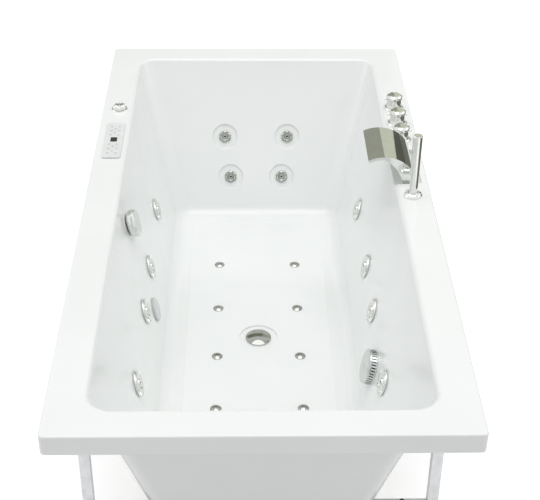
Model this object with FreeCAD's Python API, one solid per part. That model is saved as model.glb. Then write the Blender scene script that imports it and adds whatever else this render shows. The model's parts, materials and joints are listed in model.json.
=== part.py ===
"""Jetted drop-in bathtub: acrylic shell, steel cradle, taps, jets, plumbing, pump and blower.

Frame: millimetres, +Z up, origin on the floor under the middle of the tub. +Y points at the
backrest end and +X at the side that carries the taps. Each function makes one sub-part, and
each sub-part is written to its own STEP file.
"""
import FreeCAD, Part
import math
import os
from collections import namedtuple

V = FreeCAD.Vector
UP = V(0, 0, 1)

# ---------------------------------------------------------------- overall tub
LENGTH = 1830.0            # along Y
WIDTH = 915.0              # along X
RIM_HEIGHT = 600.0         # floor to the deck's top face
RIM_CORNER_R = 12.0
DECK_EDGE_R = 4.0          # rounding between the deck and the lip
LIP_DEPTH = 48.0
SHELL_T = 5.0              # acrylic with its glass-fibre backing
WELL_DEPTH = 430.0
SIDE_DECK = 87.5           # deck width beside the well
END_DECK = 83.0            # deck width at both ends
SIDE_LEAN = 118.0          # how far a side wall comes in from the rim to the floor
BACKREST_LEAN = 242.0
FOOT_END_LEAN = 100.0
WELL_CORNER_R = 55.0
FLOOR_FILLET_R = 45.0
RIM_ROLL_R = 12.0          # roll from the deck into the well
FIT = 0.4                  # radial clearance of a fixed shank in its hole
TURN_FIT = 0.05            # radial running clearance of what turns or slides
FACE_GAP = 0.3             # gap between a moving face and what it faces
OVER = 1.0                 # how far a cutter or a fused piece reaches past a face

# ---------------------------------------------------------------- deck fittings
TAP_LINE_INSET = 49.5      # from the tub's side to the line of taps, spout shank and hand shower
PANEL_LINE_INSET = 49.5    # the same for the control panel and the air control
VALVE_Y = (500.0, 404.0, 308.0)
ESCUTCHEON_R = 29.0
ESCUTCHEON_H = 7.0
HANDLE_R = 21.5
HANDLE_H = 27.0
HANDLE_FOOT = 1.5          # flare at the handle's foot
PEG_UP = 0.82              # height of the pegs, as a share of the handle's
CAP_R = 23.8
CAP_H = 12.0
CAP_RIM = 0.45             # upright part of the cap's side, as a share of its height
PEG_R = 4.0
PEG_REACH = 30.0           # from the valve's axis to the end of a peg
VALVE_BODY_R = 17.0
VALVE_BODY_L = 92.0        # below the deck
SPINDLE_R = 6.0
SUPPLY_VALVES = 2          # the first valves, which carry the supply inlets
INLET_R = 10.4             # half-inch male thread
INLET_L = 20.0
INLET_SHOULDER = 2.0       # width and length of the shoulder behind the thread
SUPPLY_PIPE_R = 8.0
SUPPLY_PIPE_WALL = 2.0
SUPPLY_DROP = 28.0         # pipes' axis below the deck nuts
DECK_NUT_R = 22.0          # half the distance across the flats
DECK_NUT_H = 8.0

NOTCH_NEAR_Y = 63.0        # the recess in the deck that the spout stands in
NOTCH_LENGTH = 186.0
NOTCH_DEPTH = 12.0
NOTCH_BACK_INSET = 17.5    # from the tub's side
NOTCH_CORNER_R = 12.0
SPOUT_NEAR_Y = 72.0
SPOUT_WIDTH = 167.0
SPOUT_CENTRE_IN = 35.0     # centre of the arch, inwards from the well's edge
SPOUT_CENTRE_Z = -15.0     # from the deck's top face
SPOUT_R = 92.0
SPOUT_LIP_T = 8.5
SPOUT_TIP_IN = 78.0        # the same to the lip's tip
SPOUT_FOOT_OUT = 20.0      # front of the foot, outwards from the well's edge
SPOUT_WAIST = 0.56         # where the throat is hollowest, as a share from the centre to the foot
SPOUT_WAIST_DROP = 2.2     # depth of that hollow, in thicknesses of the lip
SPOUT_CAVITY_START = 10.0  # from the arch's centre
SPOUT_SLOT_END = 30.0      # from the arch's centre
SPOUT_SLOT_T = 3.0
SPOUT_SLOT_MARGIN = 8.0
SPOUT_SHANK_R = 11.0
SPOUT_SHANK_L = 55.0
SPOUT_SEAM_W = 1.2
SPOUT_WALL = 3.5

HANDSET_Y = 5.0
HANDSET_TOP = 181.0        # from the deck
HANDSET_TOP_R = 12.4
HANDSET_LOW_R = 11.4
SPRAY_FROM_TOP = (70.0, 14.0)   # lower and upper end of the spray face, down from the top
SPRAY_FLAT = 2.2           # depth of the flat that the spray face makes
SPRAY_HOLE_R = 0.9
SPRAY_PITCH = 6.2
SPRAY_ROWS = 8
SPRAY_SPREAD = 4.0         # spacing of the spray holes across the face
HOLDER_R = 24.0
HOLDER_H = 11.0
HOLDER_SLEEVE_R = 15.0
HOLDER_SLEEVE_L = 60.0
HOSE_BORE_R = 8.0
HANDSET_SEAT_DEPTH = 8.0   # below the deck, where the handset stops

AIR_KNOB_Y = 494.0
AIR_KNOB_R = 20.5
AIR_KNOB_H = 13.0
AIR_KNOB_RIM = 0.4         # upright part of the knob's side, as a share of its height
AIR_FLUTES = 14
AIR_FLUTE_R = 2.2
AIR_FLUTE_OUT = 0.8        # a flute's axis outside the knob's rim
AIR_FLUTE_LEAN = 35.0      # degrees
AIR_FLANGE_R = 23.5
AIR_FLANGE_H = 2.5
AIR_STEM_R = 8.0
AIR_BODY_R = 14.0
AIR_BODY_L = 58.0

PANEL_Y = 299.0
PANEL_LENGTH = 200.0
PANEL_WIDTH = 52.0
PANEL_H = 5.0
PANEL_CORNER_R = 8.0
PANEL_BOX_WIDTH = 40.0
PANEL_BOX_LENGTH = 180.0
PANEL_BOX_DEPTH = 22.0
PANEL_BOX_WALL = 2.0
PANEL_EDGE_R = 1.5
DISPLAY_X = 19.0
DISPLAY_Y = 26.0
DISPLAY_T = 1.6

# ---------------------------------------------------------------- wall and floor fittings
JET_Y = (330.0, 36.0, -168.0, -459.0)
JET_DEPTH = 251.0          # below the rim
JET_FACE_R = 33.5
JET_FACE_T = 6.0
JET_FLANGE_R = 30.0
JET_FLANGE_T = 2.0
JET_TUBE_R = 23.0
JET_BORE_R = 19.0
JET_BODY_L = 55.0          # behind the shell
JET_NOZZLE_R = 4.5
JET_NECK_L = 14.0          # of the turning face, into its fitting
JET_BACK_T = 4.0           # closed back of a fitting
WALL_NUT_H = 8.0
WALL_NUT_RIM = 8.0         # how far a nut stands out from its thread

BACK_JETS = ((100.0, 215.0), (82.0, 327.5))   # half spacing and depth below the rim
DISH_R = 41.0
DISH_DEPTH = 5.0
DISH_DRAFT = 5.0
ROTOR_R = 18.5
ROTOR_T = 5.0
ROTOR_LOBES = 6
ROTOR_SCALLOP_R = 3.2
ROTOR_NECK_L = 12.0
ROTOR_HOLE_R = 3.0
JET_SCALLOP_R = 2.2
BACK_FLANGE_R = 21.0
BACK_TUBE_R = 16.0
BACK_BORE_R = 12.5
BACK_BODY_L = 34.0

LIGHT_Y = -73.0
LIGHT_DEPTH = 317.0
LIGHT_R = 33.0
LIGHT_T = 6.0

SUCTION_Y = -343.0
SUCTION_DEPTH = 300.0
SUCTION_R = 45.0
SUCTION_H = 22.0
SUCTION_WALL = 3.0
SUCTION_TUBE_R = 30.0
SUCTION_BORE_R = 26.0
SUCTION_BODY_L = 40.0
SUCTION_SLOTS = 36
SUCTION_SLOT_W = 2.8
SUCTION_WEB = 6.0          # width of the bar that holds the cover

OVERFLOW_Y = -20.0
OVERFLOW_DEPTH = 75.0
OVERFLOW_KNOB_R = 38.0
OVERFLOW_KNOB_H = 24.0
OVERFLOW_STAND = 4.0       # water passes behind the knob
OVERFLOW_FACETS = 8
OVERFLOW_FLANGE_R = 31.0
OVERFLOW_TUBE_R = 24.0
OVERFLOW_BODY_L = 38.0
OVERFLOW_SHAFT_R = 5.0

DRAIN_Y = -54.0
DRAIN_RECESS_R = 54.0
DRAIN_RECESS_DEPTH = 4.0
DRAIN_CAP_R = 35.0
DRAIN_CAP_DOME = 7.0
DRAIN_CAP_T = 2.0
DRAIN_LIP_R = 34.0
DRAIN_LIP_T = 2.0
DRAIN_TUBE_R = 24.0
DRAIN_BORE_R = 21.0
DRAIN_TUBE_L = 30.0
GUIDE_ARM_T = 3.0          # cross that guides the plug's stem
GUIDE_ARM_H = 5.0
GUIDE_HUB_H = 8.0
PLUG_STEM_R = 4.0
PLUG_STEM_L = 40.0
PLUG_LIFT = 10.0
WASTE_CUP_R = 34.0
WASTE_CUP_L = 76.0
WASTE_WALL = 3.0
WASTE_PORT_L = 12.0        # the overflow port, out of the cup
OUTLET_R = 20.0
OUTLET_L = 32.0
OVERFLOW_PIPE_R = 13.0
OVERFLOW_BEND_R = 30.0
CABLE_R = 2.5
CABLE_BEND_R = 18.0
CABLE_GAP = 1.5            # between the cable and the overflow pipe

INJECTOR_X = 114.0
INJECTOR_Y = (298.0, 79.0, -138.0, -352.0)
INJECTOR_CAP_R = 14.6
INJECTOR_CAP_H = 6.0
INJECTOR_RIM_H = 1.5
INJECTOR_HOLES = 6
INJECTOR_HOLE_R = 0.8
INJECTOR_HOLE_X = 6.0      # from the cap's axis
INJECTOR_STEM_R = 7.0
INJECTOR_NUT_R = 13.0
INJECTOR_TAIL_R = 6.0

# ---------------------------------------------------------------- cradle
BOARD_T = 15.0             # boards under the floor and under the machines
TUBE = 30.0                # square steel tube
TUBE_WALL = 2.0
RAIL_X = 185.0
NEAR_BAR_INSET = 275.0     # from the tub's near end
MIDDLE_BAR_Y = -135.0
FAR_BAR_INSET = 85.0       # from the tub's far end
FOOT_BARS = (0, 2)          # the cross bars that carry feet
BAR_END_INSET = 25.0       # from the lip's inner face to the end of a cross bar
POST = 25.0
FOOT_INSET_X = 85.0        # from the end of a cross bar to its foot
FOOT_PAD_R = 30.0
FOOT_PAD_H = 14.0
FOOT_ROD_R = 6.0
FOOT_NUT_R = 11.0
FOOT_NUT_H = 10.0
FOOT_TRAVEL = 20.0
BOARD_HOLE_GAP = 3.0
BOARD_MARGIN = 8.0         # from the end of the flat floor to the edge of the board
MACHINE_BOARD_START = 247.0   # from the tub's far end to the board's near edge
MACHINE_BOARD_INSET = 57.5    # from the tub's side to the board's edge
RAIL_END_INSET = 30.0      # from the tub's far end to the rails' ends
SCREW_R = 5.5
SCREW_H = 3.2
SCREW_ROW_Y = 250.0

# ---------------------------------------------------------------- machines and pipes
PUMP_INSET = 115.0         # from the tub's far end
PUMP_R = 70.0
PUMP_FOOT_H = 6.0
PUMP_FOOT_HALF = (45.0, 40.0)   # half widths of the motor's foot and of the volute's
PUMP_FOOT_UP = 14.0        # how far the feet reach up the casings
MOTOR_FOOT_END = 30.0      # from the casing's end to its foot
VOLUTE_FOOT_END = 10.0
MOTOR_FINS_END = 14.0      # from the casing's end to the first fin
MOTOR_FIN_PITCH = 12.0
MOTOR_FIN_T = 4.0
IMPELLER_BLADES = 6
IMPELLER_T = 6.0
MOTOR_X = (-172.0, 24.0)
VOLUTE_X = (MOTOR_X[1], 92.0)
CASING_WALL = 5.0
SHAFT_R = 8.0
PUMP_INLET_R = 26.0
PUMP_INLET_L = 34.0
PUMP_OUTLET_R = 20.0
PUMP_OUTLET_DROP = 14.0    # top of the outlet below the volute's top
PUMP_RISER_R = 15.0        # pipe from the pump up to the header
BLOWER_INSET_X = 157.5     # from the tub's side
BLOWER_INSET_Y = 130.0     # from the tub's far end
BLOWER_R = 72.0
BLOWER_H = 52.0
BLOWER_MOTOR_R = 46.0
BLOWER_MOTOR_H = 62.0
CONTROL_BOX = (125.0, 96.0, 84.0)
CONTROL_BOX_WALL = 3.0
CONTROL_BOX_R = 8.0
CONTROL_BOX_SPLIT = 0.72   # height of the tray, as a share of the box's
GLAND_R = 9.0
GLAND_L = 16.0
CONTROL_BOX_INSET_X = 211.5
CONTROL_BOX_INSET_Y = 193.0
HEATER_R = 27.0
HEATER_WALL = 4.0
HEATER_END_T = 6.0
COLLAR_L = 10.0
COVER_END = 40.0           # from the heater's end to its terminal cover
COVER_HALF = 18.0
HEATER_START = 110.0       # from the last wall jet's axis
HEATER_LENGTH = 200.0
WATER_R = 16.0
JET_STUB_R = 11.2
BACK_ROW_R = 12.0
BACK_STUB_R = 10.4
PIPE_WALL = 2.5
WATER_BEHIND = 22.0        # from a jet's back to the water pipe's axis
BACK_BEHIND = 18.0         # the same behind the backrest jets
HEADER_INSET = 53.0        # water header, from the tub's far end
AIR_R = 7.0
AIR_STUB_R = 5.6
AIR_DROP_BEND = 60.0       # height of the drop pipe's knee above the air main
AIR_UP = 38.0              # air pipe above the jets' axes, along the wall
AIR_BEHIND = 50.0          # air pipe behind the shell's inner face
AIR_HEADER_INSET = 27.0    # air header, from the tub's far end
SUCTION_PIPE_R = 20.0
SUCTION_BEND = 26.0        # from the suction fitting's back to the pipe's axis
SUCTION_TURN = 62.0        # straight run before the pump's inlet
SUCTION_BEND_R = 40.0
BLOWER_PIPE_R = 9.0
BLOWER_SPIGOT = 6.0
BLOWER_TEE = 40.0
BLOWER_STUB = 3.0
BLOWER_PORT_UP = 12.0      # bottom of the blower's outlet above its board
BLOWER_WALL = 3.0
FAN_GAP = 7.0              # from the housing's floor to the fan's wheel
FAN_RIM_GAP = 12.0         # the fan inside the housing's outer radius
FAN_BLADES = 12
FAN_EYE_R = 22.0

# ---------------------------------------------------------------- derived places
FLOOR_Z = RIM_HEIGHT - WELL_DEPTH
HALF_W, HALF_L = WIDTH / 2, LENGTH / 2
OPEN_X, OPEN_Y = HALF_W - SIDE_DECK, HALF_L - END_DECK
TAP_LINE_X = HALF_W - TAP_LINE_INSET
PANEL_LINE_X = PANEL_LINE_INSET - HALF_W
NOTCH_BACK_X = HALF_W - NOTCH_BACK_INSET
SPOUT_CENTRE_X = OPEN_X - SPOUT_CENTRE_IN
SPOUT_TIP_X = OPEN_X - SPOUT_TIP_IN
SPOUT_FOOT_X = OPEN_X + SPOUT_FOOT_OUT
DECK_UNDER = RIM_HEIGHT - SHELL_T
SHELL_UNDER = FLOOR_Z - SHELL_T
BOARD_UNDER = SHELL_UNDER - BOARD_T
RAIL_UNDER = BOARD_UNDER - TUBE
BAR_UNDER = RAIL_UNDER - TUBE
LIP_INNER_X = HALF_W - SHELL_T
BAR_HALF = LIP_INNER_X - BAR_END_INSET
FOOT_X = BAR_HALF - FOOT_INSET_X
BAR_Y = (NEAR_BAR_INSET - HALF_L, MIDDLE_BAR_Y, HALF_L - FAR_BAR_INSET)
MACHINE_BOARD_HALF = HALF_W - MACHINE_BOARD_INSET
MACHINE_BOARD_Y = HALF_L - MACHINE_BOARD_START
NOTCH_FLOOR = RIM_HEIGHT - NOTCH_DEPTH
BOARD_TOP = BOARD_UNDER + BOARD_T
PUMP_Y, PUMP_Z = HALF_L - PUMP_INSET, BOARD_TOP + PUMP_FOOT_H + PUMP_R
BLOWER_X, BLOWER_Y = BLOWER_INSET_X - HALF_W, HALF_L - BLOWER_INSET_Y
CONTROL_BOX_X, CONTROL_BOX_Y = HALF_W - CONTROL_BOX_INSET_X, HALF_L - CONTROL_BOX_INSET_Y
HEATER_Y = (JET_Y[0] + HEATER_START, JET_Y[0] + HEATER_START + HEATER_LENGTH)
HEADER_Y, AIR_HEADER_Y = HALF_L - HEADER_INSET, HALF_L - AIR_HEADER_INSET

Seat = namedtuple("Seat", "origin normal")


# ---------------------------------------------------------------- shape helpers
def box(x0, x1, y0, y1, z0, z1):
    """Block between two corners."""
    return Part.makeBox(x1 - x0, y1 - y0, z1 - z0, V(x0, y0, z0))


def cyl(r, z0, z1, x=0.0, y=0.0):
    """Upright cylinder."""
    return Part.makeCylinder(r, z1 - z0, V(x, y, z0))


def rod(r, start, end):
    """Cylinder between two points."""
    return Part.makeCylinder(r, (end - start).Length, start, end - start)


def ring(r_out, r_in, z0, z1):
    """Upright ring or washer."""
    return cyl(r_out, z0, z1).cut(cyl(r_in, z0 - OVER, z1 + OVER))


def lathe(*profile):
    """Turned solid from a closed profile of (r, z) points."""
    points = [V(r, 0, z) for r, z in profile]
    return Part.Face(Part.makePolygon(points + points[:1])).revolve(V(), UP, 360)


def dome(r, base, height):
    """Spherical cap on a flat circle of radius r at z = base."""
    sphere_r = (r * r + height * height) / (2 * height)
    ball = Part.makeSphere(sphere_r, V(0, 0, base + height - sphere_r))
    return ball.common(cyl(r, base, base + height + OVER))


def hexagon(across, z0, z1, hole):
    """Hexagonal nut, given the distance across its flats."""
    corner = across / math.sqrt(3)
    points = [V(corner * math.cos(a), corner * math.sin(a), z0)
              for a in (math.radians(60 * i) for i in range(7))]
    nut = Part.Face(Part.makePolygon(points)).extrude(V(0, 0, z1 - z0))
    return nut.cut(cyl(hole, z0 - OVER, z1 + OVER))


def rounded_plate(half_x, half_y, z0, z1, r):
    """Block about the Z axis with its upright edges rounded."""
    plate = box(-half_x, half_x, -half_y, half_y, z0, z1)
    upright = [e for e in plate.Edges if abs(e.tangentAt(e.FirstParameter).z) > 0.9]
    return plate.makeFillet(r, upright)


def around(count, tool):
    """Copies of a tool turned evenly about the Z axis."""
    copies = []
    for i in range(count):
        copy = tool.copy()
        copy.rotate(V(), UP, 360.0 * i / count)
        copies.append(copy)
    return copies


def moved(shape, x=0.0, y=0.0, z=0.0):
    """Copy of a shape, shifted."""
    copy = shape.copy()
    copy.translate(V(x, y, z))
    return copy


def frame_at(seat):
    """Placement whose Z axis is the seat's normal and whose Y axis points up its wall."""
    z = V(seat.normal).normalize()
    if abs(z.z) > 0.99:
        return FreeCAD.Placement(seat.origin, FreeCAD.Rotation())
    y = (UP - z * z.z).normalize()
    return FreeCAD.Placement(seat.origin, FreeCAD.Rotation(y.cross(z), y, z, "ZXY"))


def seated(shape, seat, turn=0.0):
    """Copy of a shape made about the Z axis, put on a wall or floor."""
    copy = shape.copy()
    copy.rotate(V(), UP, turn)
    copy.Placement = frame_at(seat).multiply(copy.Placement)
    return copy


def at(seat, x=0.0, y=0.0, z=0.0):
    """Point given in a seat's own axes."""
    return frame_at(seat).multVec(V(x, y, z))


def route(points, bend_r):
    """Wire through the points, with a tangent arc of one radius at each corner."""
    edges = []
    start = points[0]
    for before, corner, after in zip(points, points[1:], points[2:]):
        back, on = (before - corner).normalize(), (after - corner).normalize()
        half = back.getAngle(on) / 2
        reach = bend_r / math.tan(half)
        middle = corner + (back + on).normalize() * (bend_r / math.sin(half) - bend_r)
        first, last = corner + back * reach, corner + on * reach
        edges.append(Part.LineSegment(start, first).toShape())
        edges.append(Part.Arc(first, middle, last).toShape())
        start = last
    edges.append(Part.LineSegment(start, points[-1]).toShape())
    return Part.Wire(edges)


def sweep(points, r, bend_r):
    """Round bar along a route."""
    profile = Part.Wire(Part.makeCircle(r, points[0], points[1] - points[0]))
    return route(points, bend_r).makePipeShell([profile], True, False)


def pipework(runs, branches):
    """One hollow solid from runs (points, radius, bend) and straight branches (start, end, radius)."""
    outer = [sweep(points, r, bend) for points, r, bend in runs]
    outer += [rod(r, start, end) for start, end, r in branches]
    inner = [sweep(points, r - PIPE_WALL, bend) for points, r, bend in runs]
    inner += [rod(r - PIPE_WALL, start, end) for start, end, r in branches]
    return outer[0].multiFuse(outer[1:]).cut(inner).removeSplitter()


def group(shapes):
    """Separate solids that share one node."""
    return Part.makeCompound([solid for shape in shapes for solid in shape.Solids])


# ---------------------------------------------------------------- the well and its walls
def wall_shift(lean):
    """Sideways shift of a leaning wall per millimetre of offset."""
    return math.hypot(lean, WELL_DEPTH) / WELL_DEPTH


def side_x(z, grow=0.0):
    """Half width of the well at height z, for walls moved outwards by grow."""
    return OPEN_X - SIDE_LEAN * (RIM_HEIGHT - z) / WELL_DEPTH + grow * wall_shift(SIDE_LEAN)


def far_y(z, grow=0.0):
    """Y of the backrest at height z."""
    return OPEN_Y - BACKREST_LEAN * (RIM_HEIGHT - z) / WELL_DEPTH + grow * wall_shift(BACKREST_LEAN)


def near_y(z, grow=0.0):
    """Y of the foot-end wall at height z."""
    lean = FOOT_END_LEAN * (RIM_HEIGHT - z) / WELL_DEPTH
    return lean - OPEN_Y - grow * wall_shift(FOOT_END_LEAN)


def flat_floor(lean):
    """Width that the fillet at the foot of a leaning wall takes from the flat floor."""
    return FLOOR_FILLET_R * math.tan(math.radians(45) - math.atan2(lean, WELL_DEPTH) / 2)


def well_form(grow, top):
    """Rounded, tapering solid of the well, with its walls moved outwards by grow."""
    bottom = FLOOR_Z - grow
    low_x, high_x = side_x(bottom, grow), side_x(top, grow)
    across = Part.makePolygon([V(-low_x, -LENGTH, bottom), V(low_x, -LENGTH, bottom),
                               V(high_x, -LENGTH, top), V(-high_x, -LENGTH, top),
                               V(-low_x, -LENGTH, bottom)])
    ends = [(near_y(bottom, grow), bottom), (far_y(bottom, grow), bottom),
            (far_y(top, grow), top), (near_y(top, grow), top), (near_y(bottom, grow), bottom)]
    along = Part.makePolygon([V(-WIDTH, y, z) for y, z in ends])
    form = Part.Face(across).extrude(V(0, 2 * LENGTH, 0))
    form = form.common(Part.Face(along).extrude(V(2 * WIDTH, 0, 0))).Solids[0]
    slanted = [e for e in form.Edges if e.BoundBox.ZLength > 1]
    form = form.makeFillet(WELL_CORNER_R + grow, slanted)
    foot = [e for e in form.Edges if e.BoundBox.ZMax < bottom + 0.5]
    return form.makeFillet(FLOOR_FILLET_R + grow, foot).Solids[0]


def side_seat(side, y, depth):
    """Seat on a side wall; side is -1 for the left wall and +1 for the right one."""
    z = RIM_HEIGHT - depth
    return Seat(V(side * side_x(z), y, z), V(-side * WELL_DEPTH, 0, SIDE_LEAN).normalize())


def back_seat(x, depth, sink=0.0):
    """Seat on the backrest, moved into the wall by sink."""
    z = RIM_HEIGHT - depth
    normal = V(0, -WELL_DEPTH, BACKREST_LEAN).normalize()
    return Seat(V(x, far_y(z), z) - normal * sink, normal)


def floor_seat(x, y, sink=0.0):
    """Seat on the well's floor."""
    return Seat(V(x, y, FLOOR_Z - sink), UP)


def deck_seat(x, y, sink=0.0):
    """Seat on the deck."""
    return Seat(V(x, y, RIM_HEIGHT - sink), UP)


JET_SEATS = [side_seat(side, y, JET_DEPTH) for side in (-1, 1) for y in JET_Y]
BACK_SEATS = [back_seat(side * x, depth, DISH_DEPTH) for x, depth in BACK_JETS for side in (-1, 1)]
LIGHT_SEAT = side_seat(-1, LIGHT_Y, LIGHT_DEPTH)
SUCTION_SEAT = side_seat(1, SUCTION_Y, SUCTION_DEPTH)
OVERFLOW_SEAT = side_seat(-1, OVERFLOW_Y, OVERFLOW_DEPTH)
DRAIN_SEAT = floor_seat(0, DRAIN_Y, DRAIN_RECESS_DEPTH)
INJECTOR_SEATS = [floor_seat(side * INJECTOR_X, y) for side in (-1, 1) for y in INJECTOR_Y]
VALVE_SEATS = [deck_seat(TAP_LINE_X, y) for y in VALVE_Y]
HANDSET_SEAT = deck_seat(TAP_LINE_X, HANDSET_Y)
AIR_SEAT = deck_seat(PANEL_LINE_X, AIR_KNOB_Y)
PANEL_SEAT = deck_seat(PANEL_LINE_X, PANEL_Y)
SPOUT_Y = SPOUT_NEAR_Y + SPOUT_WIDTH / 2
SPOUT_SEAT = deck_seat(TAP_LINE_X, SPOUT_Y, NOTCH_DEPTH)


# ---------------------------------------------------------------- shell and cradle
def notch_block(grow, floor, top):
    """Block of the spout's recess, with its two back corners rounded."""
    near, far = NOTCH_NEAR_Y - grow, NOTCH_NEAR_Y + NOTCH_LENGTH + grow
    back = NOTCH_BACK_X + grow
    block = box(OPEN_X - 2 * RIM_ROLL_R, back, near, far, floor, top)
    corners = [e for e in block.Edges
               if e.BoundBox.XMin > back - 0.01 and abs(e.tangentAt(e.FirstParameter).z) > 0.9]
    return block.makeFillet(NOTCH_CORNER_R + grow, corners)


def tub_shell():
    """Deck, lip and well in one skin of even thickness, with every hole it needs."""
    deck = moved(rounded_plate(HALF_W, HALF_L, -LIP_DEPTH, 0, RIM_CORNER_R), z=RIM_HEIGHT)
    top_loop = [e for e in deck.Edges if e.BoundBox.ZMin > RIM_HEIGHT - 0.01]
    deck = deck.makeFillet(DECK_EDGE_R, top_loop)
    pocket = rounded_plate(LIP_INNER_X, HALF_L - SHELL_T, -LIP_DEPTH - OVER, -SHELL_T,
                           RIM_CORNER_R - SHELL_T)
    shell = deck.cut(moved(pocket, z=RIM_HEIGHT))
    shell = shell.fuse(well_form(SHELL_T, DECK_UNDER + OVER))
    shell = shell.cut(well_form(0, RIM_HEIGHT + 20)).removeSplitter()
    opening = [e for e in shell.Edges if e.BoundBox.ZMin > RIM_HEIGHT - 0.01
               and e.BoundBox.XMax < OPEN_X + 1 and e.BoundBox.XMin > -OPEN_X - 1]
    shell = shell.makeFillet(RIM_ROLL_R, opening)
    reach_x, reach_y = side_x(DECK_UNDER, SHELL_T) + 1, far_y(DECK_UNDER, SHELL_T) + 1
    under = [e for e in shell.Edges if abs(e.BoundBox.ZMin - DECK_UNDER) < 0.01
             and e.BoundBox.ZLength < 0.5 and e.BoundBox.XMax < reach_x and e.BoundBox.YMax < reach_y
             and e.BoundBox.XMin > -reach_x and e.BoundBox.YMin > -reach_y]
    shell = shell.makeFillet(RIM_ROLL_R - SHELL_T, under)

    notch_skin = notch_block(SHELL_T, NOTCH_FLOOR - SHELL_T, DECK_UNDER + OVER)
    shell = shell.fuse(notch_skin.cut(well_form(0, RIM_HEIGHT + 20)))
    shell = shell.cut(notch_block(0, NOTCH_FLOOR, RIM_HEIGHT + 20))

    dish = Part.makeCone(DISH_R - DISH_DRAFT, DISH_R, DISH_DEPTH)
    dish_skin = Part.makeCone(DISH_R, DISH_R + SHELL_T, DISH_DEPTH, V(0, 0, -SHELL_T))
    shell = shell.multiFuse([seated(dish_skin, seat) for seat in BACK_SEATS]
                            + [seated(cyl(DRAIN_RECESS_R + SHELL_T, -SHELL_T, 0), DRAIN_SEAT)])
    through = 3 * SHELL_T
    tools = [seated(dish, seat) for seat in BACK_SEATS]
    tools.append(seated(cyl(DRAIN_RECESS_R, 0, DRAIN_RECESS_DEPTH + OVER), DRAIN_SEAT))
    holes = [(JET_TUBE_R, JET_SEATS), (BACK_TUBE_R, BACK_SEATS), (JET_TUBE_R, [LIGHT_SEAT]),
             (SUCTION_TUBE_R, [SUCTION_SEAT]), (OVERFLOW_TUBE_R, [OVERFLOW_SEAT]),
             (DRAIN_TUBE_R, [DRAIN_SEAT]), (INJECTOR_STEM_R, INJECTOR_SEATS),
             (VALVE_BODY_R, VALVE_SEATS), (HOLDER_SLEEVE_R, [HANDSET_SEAT]),
             (AIR_BODY_R, [AIR_SEAT]), (SPOUT_SHANK_R, [SPOUT_SEAT])]
    for r, seats in holes:
        tools += [seated(cyl(r + FIT, -through, through), seat) for seat in seats]
    window = box(-PANEL_BOX_WIDTH / 2 - FIT, PANEL_BOX_WIDTH / 2 + FIT,
                 -PANEL_BOX_LENGTH / 2 - FIT, PANEL_BOX_LENGTH / 2 + FIT, -through, through)
    tools.append(seated(window, PANEL_SEAT))
    return shell.cut(tools)


def base_board():
    """Stiffening board bonded under the floor, cut out round the waste and the injectors."""
    half_x = side_x(FLOOR_Z) - flat_floor(SIDE_LEAN) - BOARD_MARGIN
    y0 = near_y(FLOOR_Z) + flat_floor(FOOT_END_LEAN) + BOARD_MARGIN
    y1 = far_y(FLOOR_Z) - flat_floor(BACKREST_LEAN) - BOARD_MARGIN
    board = box(-half_x, half_x, y0, y1, BOARD_UNDER, SHELL_UNDER)
    cuts = [seated(cyl(INJECTOR_NUT_R + BOARD_HOLE_GAP, -2 * BOARD_T - SHELL_T, 0), seat)
            for seat in INJECTOR_SEATS]
    cuts.append(seated(cyl(DRAIN_RECESS_R + SHELL_T + BOARD_HOLE_GAP, -3 * BOARD_T, 0), DRAIN_SEAT))
    return board.cut(cuts)


def square_tube(x0, x1, y0, y1, z0, z1):
    """Hollow square tube along its longer horizontal side, open at both ends."""
    outer = box(x0, x1, y0, y1, z0, z1)
    if x1 - x0 > y1 - y0:
        return outer.cut(box(x0 - OVER, x1 + OVER, y0 + TUBE_WALL, y1 - TUBE_WALL,
                             z0 + TUBE_WALL, z1 - TUBE_WALL))
    return outer.cut(box(x0 + TUBE_WALL, x1 - TUBE_WALL, y0 - OVER, y1 + OVER,
                         z0 + TUBE_WALL, z1 - TUBE_WALL))


def rail_ends():
    """Y of the rails' two ends."""
    return BAR_Y[0] - TUBE, HALF_L - SHELL_T - RAIL_END_INSET


def frame_rails():
    """Two long tubes under the boards."""
    y0, y1 = rail_ends()
    return group([square_tube(x - TUBE / 2, x + TUBE / 2, y0, y1, RAIL_UNDER, BOARD_UNDER)
                  for x in (-RAIL_X, RAIL_X)])


def frame_bars():
    """Three cross bars under the rails, bored for the feet."""
    bars = [square_tube(-BAR_HALF, BAR_HALF, y - TUBE / 2, y + TUBE / 2, BAR_UNDER, RAIL_UNDER)
            for y in BAR_Y]
    bores = [cyl(FOOT_ROD_R + TURN_FIT, BAR_UNDER - OVER, RAIL_UNDER + OVER, x, y) for x, y in foot_places()]
    return group([bar.cut(bores) for bar in bars])


def foot_places():
    """Plan position of each foot."""
    return [(side * FOOT_X, BAR_Y[bar]) for bar in FOOT_BARS for side in (-1, 1)]


def frame_posts():
    """Six posts with top plates, from the cross bars to the underside of the deck."""
    posts = []
    for y in BAR_Y:
        for side in (-1, 1):
            x = side * (BAR_HALF - POST / 2)
            post = box(x - POST / 2, x + POST / 2, y - POST / 2, y + POST / 2,
                       RAIL_UNDER, DECK_UNDER)
            bore = box(x - POST / 2 + TUBE_WALL, x + POST / 2 - TUBE_WALL,
                       y - POST / 2 + TUBE_WALL, y + POST / 2 - TUBE_WALL,
                       RAIL_UNDER - OVER, DECK_UNDER - TUBE_WALL)
            posts.append(post.cut(bore))
    return group(posts)


def machine_board():
    """Board on the rails that carries the pump, blower and control box."""
    y1 = rail_ends()[1]
    return box(-MACHINE_BOARD_HALF, MACHINE_BOARD_HALF, MACHINE_BOARD_Y, y1,
               BOARD_UNDER, BOARD_UNDER + BOARD_T)


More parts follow.
